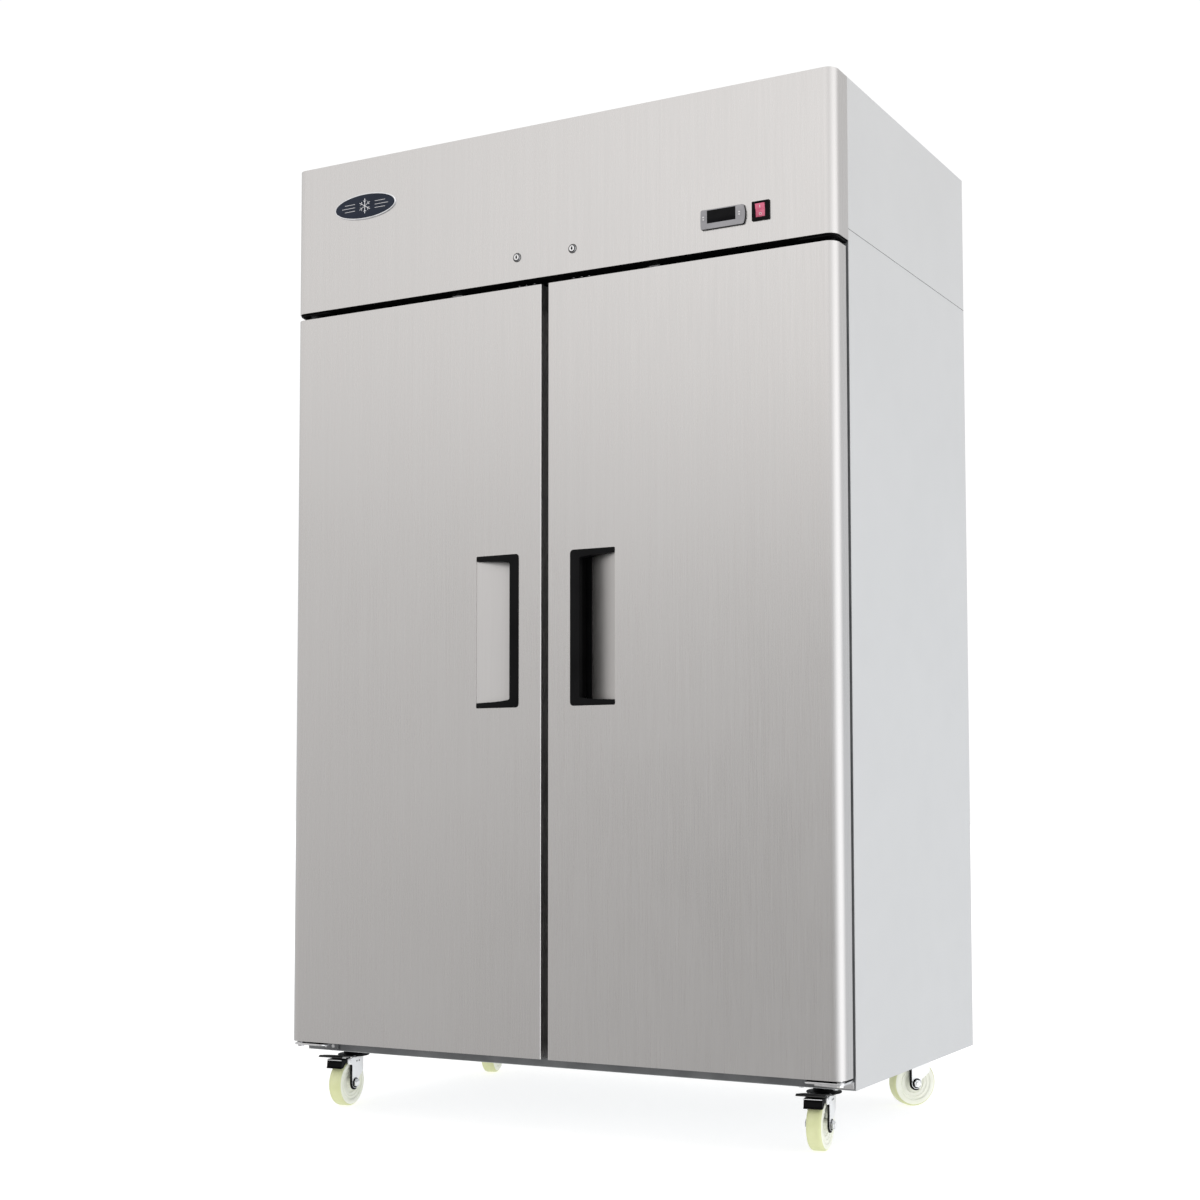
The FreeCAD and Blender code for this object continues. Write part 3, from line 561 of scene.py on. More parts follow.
# ---- doors ----
def pull_trim(side, sign):
    """Black moulding of the pull: bar, tapering arms and the dark inside of the grip, whose black is partly
    the moulding and partly painted shade deep in the pocket.
    """
    lo, hi = low("handle_trim_right"), high("handle_trim_right")
    x0, x1, z0, z1 = lo.x, hi.x + 2, lo.z, hi.z
    bar, arm, corner, tip = 21.5, 11.0, 7, 3
    front = DOOR_FRONT - 0.9
    notch_back = DOOR_FRONT + 12

    def depth(x):
        """Back of the moulding, following the pocket's slope."""
        t = min(max((x - x0) / (x1 - x0), 0.0), 1.0)
        return DOOR_FRONT + 27.0 * (1 - t) ** 0.8 + 0.6

    wedge = [(42, 1.5), (20, 3.0), (3, 4.5), (0, 7.5)]
    outline = arc(x0 + corner, z0 + corner, corner, 180, 270)
    outline += arc(x1 - tip, z0 + tip, tip, 270, 360, 4) + arc(x1 - tip, z0 + arm - tip, tip, 0, 90, 4)
    outline += [(x0 + bar + u, z0 + arm + w) for u, w in wedge]
    outline += [(x0 + bar + u, z1 - arm - w) for u, w in reversed(wedge)]
    outline += arc(x1 - tip, z1 - arm + tip, tip, 270, 360, 4) + arc(x1 - tip, z1 - tip, tip, 0, 90, 4)
    outline += arc(x0 + corner, z1 - corner, corner, 90, 180)
    bm = bmesh.new()
    add_plate(bm, outline, front, front + 1)
    for v in bm.verts:
        x, y, z = v.co / MM
        if y > front + 0.5:
            notch = abs(x - x0 - bar) < 1 and z0 + arm < z < z1 - arm
            v.co.y = MM * (notch_back if notch else depth(x))
    soften(bm, [e for e in bm.edges if all(v.co.y / MM < front + 0.1 for v in e.verts)], 0.8)
    # back wall of the grip: black plastic that also serves as painted shade deep in the pocket
    grip = [(0.7, 10), (1.7, 10), (1.9, 34.0), (2.6, 34.6), (25.4, 34.6), (30.0, 32.9), (31.0, 32.0),
            (32.6, 31.8), (33.2, 32.4), (32.8, 33.2), (26.0, 35.7), (0.7, 35.7)]
    add_plate(bm, [(x0 + u, DOOR_FRONT + v) for u, v in grip], z0 + 4, z1 - 4, "xy")
    for z in (z0 + arm + 6, z1 - arm - 6):
        add_screw(bm, (x0 + 15, DOOR_FRONT + 34.6, z), TO_FRONT, 2.6, 1)
    if sign < 0:
        mirror_x(bm)
    made = piece("pull_moulding_and_pocket_shade_" + side, bm, ["black_and_painted_shade", "zinc"], "door_" + side)
    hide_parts("handle_trim_" + side)


def door_gasket(side, sign):
    """Magnetic gasket: a mitred frame of bellows-shaped rubber."""
    lo, hi = low("door_gasket_right"), high("door_gasket_right")
    width, thick = 16, hi.y - lo.y
    section = [(0.06, 0.0), (0.94, 0.0), (0.94, 0.12), (0.78, 0.20), (0.80, 0.34), (0.96, 0.46),
               (0.97, 0.60), (0.84, 0.72), (0.88, 0.86), (0.90, 1.0), (0.10, 1.0), (0.12, 0.86),
               (0.16, 0.72), (0.03, 0.60), (0.04, 0.46), (0.20, 0.34), (0.22, 0.20), (0.06, 0.12)]
    bm = bmesh.new()
    rings = []
    for x, inward_x, z, inward_z in ((lo.x, 1, lo.z, 1), (hi.x, -1, lo.z, 1), (hi.x, -1, hi.z, -1),
                                     (lo.x, 1, hi.z, -1)):
        rings.append(add_ring(bm, [(x + inward_x * u * width, lo.y + w * thick, z + inward_z * u * width)
                                   for u, w in section]))
    for a, b in zip(rings, rings[1:] + rings[:1]):
        bridge(bm, a, b)
    if sign < 0:
        mirror_x(bm)
    made = piece("gasket_" + side, bm, ["gasket"], "door_" + side)
    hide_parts("door_gasket_" + side)


def door_pan(side, sign):
    """Raised centre of the inner door sheet, inside the gasket."""
    lo, hi = low("door_gasket_right"), high("door_gasket_right")
    y = high("door_liner_right").y
    margin = 26
    bm = bmesh.new()
    rings = []
    for inwards, rise in ((0.0, 0.0), (3.0, 2.4), (5.5, 3.6), (60.0, 3.6), (62.0, 3.2), (66.0, 2.6)):
        s = margin + inwards
        radius = max(14 - inwards * 0.2, 4)
        outline = rounded_outline(lo.x + s, hi.x - s, lo.z + s, hi.z - s, [radius] * 4)
        rings.append(add_ring(bm, [(u, y + rise, v) for u, v in outline]))
    for a, b in zip(rings, rings[1:]):
        bridge(bm, a, b)
    bm.faces.new(rings[-1])
    if sign < 0:
        mirror_x(bm)
    piece("inner_pan_" + side, bm, ["pan"], "door_" + side)


# ---- hood front: badge, controller, switch, locks ----
def badge():
    """Oval badge with a raised rim, a plain snow crystal and three lines at each side of it."""
    cx, cz, half_x, half_z = -465.5, 1992.5, 83.5, 29
    # share of the width and of the height, rise off the hood, material
    levels = [(1.0, 1.0, 0.0, 0), (1.0, 1.0, 1.6, 0), (0.985, 0.96, 2.4, 0), (0.965, 0.90, 2.4, 0),
              (0.955, 0.87, 1.8, 1), (0.7, 0.62, 2.3, 1), (0.35, 0.3, 2.6, 1)]
    bm = bmesh.new()
    rings = [add_ring(bm, [(cx + half_x * wide * u, DOOR_FRONT - rise, cz + half_z * tall * v)
                           for u, _, v in circle(0, 0, 0, 1, 64)]) for wide, tall, rise, _ in levels]
    for a, b, level in zip(rings, rings[1:], levels[1:]):
        bridge(bm, a, b, level[3])
    bm.faces.new(rings[-1]).material_index = 1
    base = Vector((cx, DOOR_FRONT - 2.9, cz))
    reach = 16.5
    for i in range(6):
        a = math.radians(60 * i + 30)
        arm = reach * Vector((math.cos(a), 0, math.sin(a)))
        add_tube(bm, [base, base + arm], 0.9, 8, material=2)
        fork_point = base + arm * 0.55
        for turn in (-50, 50):
            b = a + math.radians(turn)
            twig = reach * 0.32 * Vector((math.cos(b), 0, math.sin(b)))
            add_tube(bm, [fork_point, fork_point + twig], 0.7, 8, material=2)
    for sign in (-1, 1):
        for row, length in ((-1, 28), (0, 36), (1, 28)):
            x, z = cx + sign * 27, cz + row * 7.5
            add_tube(bm, [(x, base.y + 0.5, z), (x + sign * length, base.y + 0.9, z)], 0.8, 8, material=2)
    piece("crystal_badge", bm, ["rim", "navy", "rim"], "cabinet")


def controller():
    """Bezel with a rounded nose at its right end, window with a raised edge, key caps with arrows."""
    lo, hi = low("controller_bezel"), high("controller_bezel")
    front = lo.y
    cx, cz = (lo.x + hi.x) / 2, (lo.z + hi.z) / 2
    nose = [(hi.x - 3.2 * t * t, cz + t * (hi.z - lo.z - 3) / 2) for t in (-1 + i / 5 for i in range(11))]
    outline = [(lo.x + 2.5, lo.z), (hi.x - 6, lo.z)] + nose
    outline += [(hi.x - 6, hi.z), (lo.x + 2.5, hi.z)]
    outline += [(lo.x + 0.6, hi.z - 2), (lo.x, cz), (lo.x + 0.6, lo.z + 2)]
    bm = bmesh.new()
    outer = add_ring(bm, [(u, DOOR_FRONT, v) for u, v in outline])
    shoulder = add_ring(bm, [(u, front + 1.4, v) for u, v in outline])
    crown = add_ring(bm, [(u, front, v) for u, v in shrunk(outline, 1.2, cx, cz)])
    bridge(bm, outer, shoulder, 1)
    bridge(bm, shoulder, crown)
    bmesh.ops.triangulate(bm, faces=[bm.faces.new(crown)])
    window_lo, window_hi = low("controller_display"), high("controller_display")
    x0, x1, z0, z1 = window_lo.x, window_hi.x, window_lo.z, window_hi.z
    add_box(bm, (x0, front - 0.05, z0), (x1, front + 0.6, z1), 0.25, 2, 2)
    edge, edge_top = 1.2, 1.0
    for a, b, c, d in ((x0 - edge, x0, z0 - edge, z1 + edge_top), (x1, x1 + edge, z0 - edge, z1 + edge_top),
                       (x0, x1, z0 - edge, z0), (x0, x1, z1, z1 + edge_top)):
        add_box(bm, (a, front - 0.25, c), (b, front + 0.4, d), 0.2)
    made = piece("controller_shell", bm, ["bezel", "black_and_painted_shade", "display"], "cabinet")
    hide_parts("controller_bezel", "controller_display")
    for side in ("left", "right"):
        lo, hi = low("controller_key_" + side), high("controller_key_" + side)
        key_front = front - 0.7
        bm = bmesh.new()
        add_box(bm, (lo.x, key_front, lo.z), (hi.x, front + 0.5, hi.z), 0.6, 3)
        x, z = (lo.x + hi.x) / 2, (lo.z + hi.z) / 2
        for sign in (-1, 1):
            arrow = [(x - 2, z + sign * 1.6), (x + 2, z + sign * 1.6), (x, z + sign * 4.4)]
            add_plate(bm, arrow, key_front - 0.12, key_front + 0.1, "xz", 0, 1)
        key = piece("key_cap_" + side, bm, ["bezel", "mark"], "key_" + side)
        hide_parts("controller_key_" + side)


def power_switch():
    """Snap-in frame with a soft rim and the lit rocker with plain line and ring marks."""
    lo, hi = low("rocker_frame"), high("rocker_frame")
    cx, cz = (lo.x + hi.x) / 2, (lo.z + hi.z) / 2
    middle = cz + 1.5
    half_opening = 14.4
    opening_left, opening_right = 488.4, 509.6
    outer = rounded_outline(lo.x, hi.x, lo.z, hi.z, [2] * 4, 3)
    inner = rounded_outline(opening_left, opening_right, middle - half_opening, middle + half_opening,
                            [0.8] * 4, 3)
    levels = [(outer, DOOR_FRONT, 0.0), (outer, lo.y + 1.2, 0.0), (outer, lo.y, 1.2), (inner, lo.y, -0.8),
              (inner, lo.y + 0.8, 0.0), (inner, DOOR_FRONT + 10, 0.0)]
    bm = bmesh.new()
    rings = []
    for outline, y, inset in levels:
        rings.append(add_ring(bm, [(u, y, v) for u, v in shrunk(outline, inset, cx, cz)]))
    for a, b in zip(rings, rings[1:]):
        bridge(bm, a, b)
    bm.faces.new(rings[-1])
    made = piece("switch_surround", bm, ["black_and_painted_shade"], "cabinet")
    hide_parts("rocker_frame")

    x0, x1 = low("rocker_button").x, high("rocker_button").x
    cx = (x0 + x1) / 2
    tilt = math.radians(9.0)
    slope = math.tan(tilt)
    depth, reach = 3.8, 13.3
    tip = -depth - reach * slope
    bm = bmesh.new()
    add_plate(bm, [(-depth, 0), (tip, reach), (0, reach), (5, 0), (0, -reach), (tip, -reach)], x0, x1, "yz")
    soften(bm, list(bm.edges), 0.5)
    mark_z = reach * 0.55
    mark_y = -depth - mark_z * slope - 0.1
    add_box(bm, (cx - 0.6, mark_y - 0.3, mark_z - 2.6), (cx + 0.6, mark_y + 0.3, mark_z + 2.6), 0.1, 1, 1)
    add_tube(bm, circle(cx, mark_y, -mark_z, 2.4, 20), 0.45, 8, True, 1)
    pivot = Matrix.Translation((0, (DOOR_FRONT + 2) * MM, middle * MM))
    bm.transform(pivot @ Matrix.Rotation(tilt, 4, "X"))
    made = piece("lit_rocker", bm, ["red", "mark"], "power_rocker")
    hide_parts("rocker_button")


def lock_place(side):
    """Centre of a lock: its cam reaches to one side, so x is counted from the low edge."""
    node = "lock_cylinder_" + side
    return low(node).x + 6, (low(node).z + high(node).z) / 2


def lock_collars_with_shade_ring():
    """Domed collars of the two locks with their barrels through the hood front."""
    barrel = high("lock_housings").y - DOOR_FRONT
    bore, wall = 6.2, 7.9
    collar = [(9.0, 0.0), (9.0, 0.6), (8.4, 1.7), (7.6, 2.4), (6.6, 2.4), (bore, 2.0), (bore, -9.0),
              (wall, -9.0), (wall, 0.0), (9.0, 0.0)]
    bm = bmesh.new()
    for side in ("left", "right"):
        x, z = lock_place(side)
        add_lathe(bm, collar, (x, DOOR_FRONT, z), TO_FRONT, 40)
        add_lathe(bm, [(bore, 9), (wall, 9), (wall, barrel), (bore, barrel), (bore, 9)], (x, DOOR_FRONT, z),
                  TO_BACK, 40)
        # black ring at the collar's foot: painted shade in the crease against the hood; a second black ring
        # lies on the collar's top
        for radius, rise in ((9.3, 0.3), (7.1, 2.4)):
            add_tube(bm, circle(x, DOOR_FRONT - rise, z, radius, 40), 0.5, 8, True, 1)
    made = piece("lock_collars_with_shade_ring", bm, ["steel_shade", "black_and_painted_shade"], "cabinet")
    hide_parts("lock_housings")


def lock(side):
    """Plug of a barrel lock with its key slot, drawn as a black slot and disc: painted shade of the opening.
    """
    x, z = lock_place(side)
    bm = bmesh.new()
    add_lathe(bm, [(6.0, -2.0), (6.0, 2.9), (5.5, 3.4), (0.0, 3.4)], (x, DOOR_FRONT, z), TO_FRONT, 32)
    # black slot and disc: painted shade of the key slot's opening
    add_box(bm, (x - 1.1, DOOR_FRONT - 3.7, z - 4), (x + 1.1, DOOR_FRONT - 3.3, z + 4), 0.1, 1, 1)
    add_lathe(bm, [(2.3, 0), (2.3, 0.3), (0, 0.3)], (x, DOOR_FRONT - 3.4, z), TO_FRONT, 24, 1)
    for u, v in arc(x, z, 4.3, 45, 315, 3):
        add_screw(bm, (u, DOOR_FRONT - 3.3, v), TO_FRONT, 0.5)
    piece("lock_plug_painted_keyway_" + side, bm, ["core", "black_and_painted_shade"], "lock_" + side)


def header_fittings():
    """Strike plates and screws on the underside of the hood front."""
    y, z = DOOR_FRONT + 38, HOOD_BOTTOM
    bm = bmesh.new()
    for sign in (-1, 1):
        x = sign * 243
        add_box(bm, (x - 13, y - 4, z - 2.4), (x + 13, y + 10, z), 0.7)
        add_box(bm, (x - 5, y, z - 6), (x + 5, y + 6, z - 2), 1.0)
        for offset in (48, 68, 86):
            add_screw(bm, (sign * offset, y, z), DOWN, 2.6)
    piece("header_strikes", bm, ["chrome"], "cabinet")


# ---- hinges ----
def hinge_brackets_with_painted_shade():
    """Lower and upper bracket of each door: leaf, pin with its boss, flange, screws and bolts. The upper
    parts in black and the left flange in dark grey are painted shade.
    """
    pin_x, pin_y, _ = joint_place("right_door_hinge")
    x_in, x_out = 572, high("door_hinges").x
    y0, y1 = low("door_hinges").y, high("door_hinges").y
    leaf_bottom, leaf_top = 143.1, 146.9
    upper_bottom, upper_top = HOOD_BOTTOM - 3.9, HOOD_BOTTOM - 0.1
    boss = [(9.0, 0), (9.0, 1.4), (8.2, 2.2), (5.0, 2.2), (5.0, 24.5), (4.2, 25.5), (0, 25.5)]
    outline = rounded_outline(x_in, x_out, y0, y1, [10, 10, 1, 1])
    bm = bmesh.new()
    for sign in (1, -1):
        part = bmesh.new()
        add_plate(part, outline, leaf_bottom, leaf_top, "xy", 0.8)
        # the left bracket's flange takes the dark face-frame grey: painted shade for the shadow it sits in;
        # the right one stays chrome
        add_box(part, (x_in, y1 - 4, 129), (x_out, y1, 143.5), 0.8, 2, 0 if sign > 0 else 2)
        # upper leaf, boss and bolts are black: painted shade for the dark gap under the hood
        add_plate(part, outline, upper_bottom, upper_top, "xy", 0.8, 1)
        add_lathe(part, boss, (pin_x, pin_y, leaf_top), UP, 28)
        add_lathe(part, boss, (pin_x, pin_y, upper_bottom), DOWN, 28, 1)
        add_hex(part, (pin_x, pin_y, leaf_bottom), DOWN, 13, 5)
        for x in (x_in + 14, x_in + 34):
            add_screw(part, (x, y1 - 4, 136.5), TO_FRONT, 3.2)
            add_hex(part, (x, y1 - 18, upper_bottom), DOWN, 9, 4, 1)
        if sign < 0:
            mirror_x(part)
        mesh = bpy.data.meshes.new("bracket")
        part.to_mesh(mesh)
        part.free()
        bm.from_mesh(mesh)
        bpy.data.meshes.remove(mesh)
    made = piece("hinge_brackets_with_painted_shade", bm, ["chrome", "black_and_painted_shade", "frame"], "cabinet")
    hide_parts("door_hinges")


# ---- casters, drawn about the swivel axis with the wheel trailing to the front ----
TRAIL, AXLE_Z = 28, 50.8
WHEEL_RADIUS = 50.8
HUB = (0, -TRAIL, AXLE_Z)


def caster_local(name):
    """Moves a mesh drawn about the swivel axis to the caster's place and turn."""
    swivel = JOINTS[name + "_swivel"]["pos_m"]
    axle = JOINTS[name + "_wheel_spin"]["axis"]
    turn = math.atan2(axle[1], axle[0])
    return Matrix.Translation((swivel[0], swivel[1], 0)) @ Matrix.Rotation(turn, 4, "Z")


def wheel(name):
    """Moulded wheel: hub, stepped web in a paler tone that is painted light on the wheel's sides, and a tread
    with rounded shoulders.
    """
    half_width, shoulder, painted_light_reach = 16.0, 7.0, 47
    web = [(5.2, 18.4), (10.5, 18.4), (11.8, 17.4), (12.2, 9.6), (14.0, 8.6), (20.0, 8.6), (22.0, 9.6),
           (23.0, 11.8), (29.0, 12.4), (30.0, 14.0), (31.6, 14.2), (32.6, 12.9), (36.0, 12.9), (37.2, 13.6),
           (38.2, 15.6), (39.4, 16.0)]
    half = web + arc(WHEEL_RADIUS - shoulder, half_width - shoulder, shoulder, 90, 0)
    profile = half + [(WHEEL_RADIUS, 5.0), (WHEEL_RADIUS, -5.0)] + [(r, -x) for r, x in reversed(half)]
    bm = bmesh.new()
    add_lathe(bm, profile, HUB, ACROSS, 72)
    add_lathe(bm, [(5.2, -18.4), (5.2, 18.4)], HUB, ACROSS, 72)
    bmesh.ops.remove_doubles(bm, verts=bm.verts, dist=1e-6)
    # faces of the web take the paler nylon: painted light on the wheel's sides
    for f in bm.faces:
        _, y, z = f.calc_center_median() / MM
        if math.hypot(y + TRAIL, z - AXLE_Z) < painted_light_reach:
            f.material_index = 1
    bm.transform(caster_local(name))
    made = piece("nylon_wheel_painted_light_" + name, bm, ["nylon", "web"], "wheel_" + name)
    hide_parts("caster_wheel_" + name)


def fork(name):
    """Pressed fork: black domed head, two legs with brake tabs, black strips at their front, axle bolt. The
    strips are painted shade, the head partly painted shade, the light legs painted light.
    """
    bm = bmesh.new()
    head = [(6.2, 117.4), (17, 117.4), (20.5, 116.6), (22, 114.5), (22, 112.0), (24, 111.2), (34, 110.6),
            (35, 110.0), (35, 108.2), (34, 107.4), (6.2, 107.1), (6.2, 117.4)]
    # the head is black partly as a sealed swivel head and partly as painted shade under the cabinet
    add_lathe(bm, head, (0, 0, 0), UP, 48, 1)
    leg = [(-54, 106.7), (-56, 104.8), (-56, 97.5), (-54.5, 94.6), (-51, 92.6), (-42, 92.5), (-39.6, 91.2),
           (-39, 88)]
    leg += arc(-TRAIL, AXLE_Z, 11, 180, 360, 12)
    leg += [(-17, 56), (-14.5, 60), (3, 72.5), (5, 76), (5, 109.8), (-31.4, 109.8), (-31.4, 106.7)]
    # black strips along the legs' front edges are painted shade between leg and wheel; the legs take the
    # lightened zinc, painted light
    shade_strip = [(-43.6, 91.8), (-43.6, 50.8)]
    shade_strip += arc(-TRAIL, AXLE_Z, 15.6, 195, 300, 7) + [(-28, 50.8), (-36, 91.4)]
    for x0, x1, shade_x0, shade_x1 in ((19.5, 22.5, 18.8, 21.4), (-22.5, -19.5, -21.4, -18.8)):
        add_plate(bm, leg, x0, x1, "yz", 0.6)
        add_plate(bm, shade_strip, shade_x0, shade_x1, "yz", 0, 1)
    boss = [(6.2, 0), (6.2, 0.5), (5.6, 1.1), (4.6, 1.2), (4.2, 0.7), (2.4, 0.7), (2.0, 1.5), (0, 1.6)]
    for x, outwards in ((22.5, (1, 0, 0)), (-22.5, (-1, 0, 0))):
        add_hex(bm, (x, -TRAIL, AXLE_Z), outwards, 16, 6.6, 2)
        add_lathe(bm, [(0, 0), (11.0, 0), (11.0, 1.2), (0, 1.2)], (x, -TRAIL, AXLE_Z), outwards, 32, 1)
        add_lathe(bm, boss, (x, -47, 100), outwards, 24)
        for y in (-22.0, -12.5):
            add_lathe(bm, [(2.0, 0), (2.0, 0.2), (0, 0.2)], (x, y, 98), outwards, 16, 1)
    add_lathe(bm, [(5, 29), (5, 31), (4.2, 31.8), (0, 31.8)], HUB, ACROSS, 24)
    add_lathe(bm, [(4.9, -22), (4.9, 22)], HUB, ACROSS, 24)
    bm.transform(caster_local(name))
    made = piece("pressed_fork_with_painted_light_and_shade_" + name, bm, ["zinc_painted_light", "black_and_painted_shade", "zinc"], "fork_" + name)
    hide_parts("caster_fork_" + name)


def brake(name):
    """Foot plate that slopes up to a drooped lip, over the moulded brake shoe with a painted highlight strip
    on its top edge.
    """
    bm = bmesh.new()
    plate = [(-33.6, 107.7), (-88.0, 115.0), (-91.0, 114.9), (-93.2, 113.0), (-94.9, 113.7), (-94.6, 115.7),
             (-92.0, 117.2), (-88.0, 117.3), (-33.6, 109.9)]
    add_plate(bm, plate, -29.8, 29.8, "yz", 0.4)
    for i in range(6):
        y = -62 - 4.5 * i
        z = 109.9 + (-33.6 - y) * 0.136
        add_box(bm, (-24, y - 0.8, z - 0.4), (24, y + 0.8, z + 0.7), 0.3)
    ear = [(-57.3, 109.4), (-57.3, 98), (-55, 95.6), (-45, 95), (-42.4, 96.5), (-42.2, 108.3)]
    for x0, x1 in ((16.7, 19.0), (-19.0, -16.7)):
        add_plate(bm, ear, x0, x1, "yz", 0.4)
    grip = WHEEL_RADIUS + 5.8
    shoe = [(-76.0, 107.2), (-77.4, 105.8), (-77.6, 103.8), (-76.4, 102.9), (-76.4, 101.6), (-77.8, 100.8),
            (-77.8, 91.0), (-80.4, 88.6), (-80.0, 87.4), (-71.5, 87.6)]
    shoe += [(-TRAIL - grip * math.sin(math.radians(a)), AXLE_Z + grip * math.cos(math.radians(a)))
             for a in (47, 43, 39, 35, 33)]
    shoe += [(-58.2, 107.2)]
    add_plate(bm, shoe, -18.9, 18.9, "yz", 0.6, 1)
    # light zinc strip on the shoe's top edge: a painted highlight line
    add_box(bm, (-18.4, -78.0, 104.6), (18.4, -76.8, 106.2), 0.5, 2, 2)
    bm.transform(caster_local(name))
    made = piece("foot_brake_painted_highlight_" + name, bm, ["brake", "black_and_painted_shade", "zinc_painted_light"], "brake_" + name)
    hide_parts("brake_pedal_" + name)


def mounting_plates():
    """Caster plates with their race rings, kingpin nuts and four bolts each."""
    race = [(23.5, 123.1), (23.5, 121.0), (21.5, 118.6), (19.0, 118.0), (6.0, 118.0), (6.0, 107.0)]
    bm = bmesh.new()
    for name in CASTERS:
        x, y, _ = joint_place(name + "_swivel")
        add_plate(bm, rounded_outline(x - 48, x + 48, y - 38, y + 38, [6] * 4, 4), 123.0, 125.9, "xy", 0.6)
        add_lathe(bm, race, (x, y, 0), UP, 40)
        add_hex(bm, (x, y, 107), DOWN, 15, 4)
        for sx in (-1, 1):
            for sy in (-1, 1):
                add_hex(bm, (x + sx * 36, y + sy * 27, 123), DOWN, 11, 4.5)
    made = piece("caster_mounts", bm, ["zinc"], "cabinet")
    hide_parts("caster_plates")


# ---- back and machine bay ----
def rear_louvres():
    """Pressed louvre lips over the slots of the rear grille."""
    half_width, pitch = 142, 22
    lip = [(0, 9.6), (3.6, 4.6), (4.4, 4.8), (4.6, 5.6), (0.6, 11.0), (0, 11.0)]
    bm = bmesh.new()
    for column in (-380, 0, 380):
        for row in range(9):
            z = SEAM + 60.6 + row * pitch
            add_plate(bm, [(BACK + u, z + v) for u, v in lip], column - half_width, column + half_width, "yz")
    piece("rear_louvres", bm, ["galvanised"], "cabinet")


def hood_shade_strip_and_seams():
    """Black strip under the turned-in edge of the hood front, painted shade for the hood's dark underside,
    and the seams of the hood sides.
    """
    inset = 1.2
    outline = rounded_outline(-HALF + inset, HALF - inset, DOOR_FRONT + inset, CASE_FRONT, [21, 21, 1, 1])
    bm = bmesh.new()
    # this plate is painted shade: it stands in for the shadow under the hood front's edge
    add_plate(bm, outline, HOOD_BOTTOM - 0.4, HOOD_BOTTOM - 0.02, "xy")
    for x0, x1 in ((-HALF - 0.1, -HALF + 0.5), (HALF - 0.5, HALF + 0.1)):
        add_box(bm, (x0, CASE_FRONT, SEAM - 0.1), (x1, BACK, SEAM + 0.8))
    piece("hood_shade_strip_and_seams", bm, ["black_and_painted_shade"], "cabinet")


def case_screws():
    """Screws of the rear panel, the rear grille and the hood sides."""
    radius = 2.8
    bm = bmesh.new()
    for x in (-645, 645):
        for i in range(9):
            add_screw(bm, (x, BACK, 160 + i * (SEAM - 190) / 8), TO_BACK, radius)
        for i in range(4):
            add_screw(bm, (x, BACK, SEAM + 20 + i * 85), TO_BACK, radius)
    for i in range(9):
        for z in (140, SEAM - 12, SEAM + 14, HOOD_TOP - 16):
            add_screw(bm, (-600 + i * 150, BACK, z), TO_BACK, radius)
    for sign in (-1, 1):
        for y in (-240, -30, 180, 350):
            add_screw(bm, (sign * (HALF - 12), y, DECK), UP, radius)
    piece("case_screws", bm, ["zinc"], "cabinet")


def cord_gland():
    """Hexagonal gland of the cord inlet, and the electrical box's lid with its four screws."""
    lo, top = low("electrical_box"), high("electrical_box").z
    x0, x1, y0, y1 = lo.x + 3, 608, lo.y + 3, 358
    bm = bmesh.new()
    gland = [(8.2, 0), (11.0, 0), (11.0, 4.6), (10.0, 5.6), (6.6, 5.6), (5.6, 4.8), (5.6, -2), (8.2, -2),
             (8.2, 0)]
    add_lathe(bm, gland, (600, BACK, SEAM + 60.6), TO_BACK, 6)
    add_plate(bm, rounded_outline(x0, x1, y0, y1, [5] * 4, 4), top, top + 1.6, "xy", 0.5, 1)
    for x in (x0 + 11, x1 - 12):
        for y in (y0 + 11, y1 - 12):
            add_screw(bm, (x, y, top + 1.6), UP, 2.8, 2)
    piece("cord_gland", bm, ["black_and_painted_shade", "galvanised", "zinc"], "cabinet")


def compressor():
    """Welded shell with its seam, feet on rubber grommets, terminal cover and process stub."""
    x, y = -250, 120
    shell = [(0, 4), (66, 4), (78, 9), (82, 18), (82, 84), (84.5, 85), (84.5, 90), (82, 91), (82, 130),
             (80, 149), (74, 166), (63, 182), (46, 197.5), (24, 208), (0, 211.8)]
    grommet = [(0, 0), (11, 0), (11, 2), (9, 5), (11, 8), (10, 11), (0, 11)]
    bm = bmesh.new()
    add_lathe(bm, shell, (x, y, DECK), UP, 64)
    foot = rounded_outline(x - 110, x + 110, y - 80, y + 80, [22] * 4, 6)
    add_plate(bm, foot, DECK + 1, DECK + 4, "xy", 0.6)
    add_box(bm, (x - 130, y - 30, DECK + 60), (x - 76, y + 30, DECK + 120), 6, 3, 1)
    for sx in (-1, 1):
        for sy in (-1, 1):
            corner_x, corner_y = x + sx * 94, y + sy * 64
            add_lathe(bm, grommet, (corner_x, corner_y, DECK), UP, 24, 1)
            add_hex(bm, (corner_x, corner_y, DECK + 11), UP, 10, 5, 2)
    stub = [(x + 50, y - 50, DECK + 185), (x + 60, y - 60, DECK + 215), (x + 90, y - 60, DECK + 225)]
    add_tube(bm, stub, 3.2, 12, material=3)
    made = piece("compressor_shell", bm, ["enamel", "black_and_painted_shade", "zinc", "copper"], "cabinet")
    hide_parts("compressor")


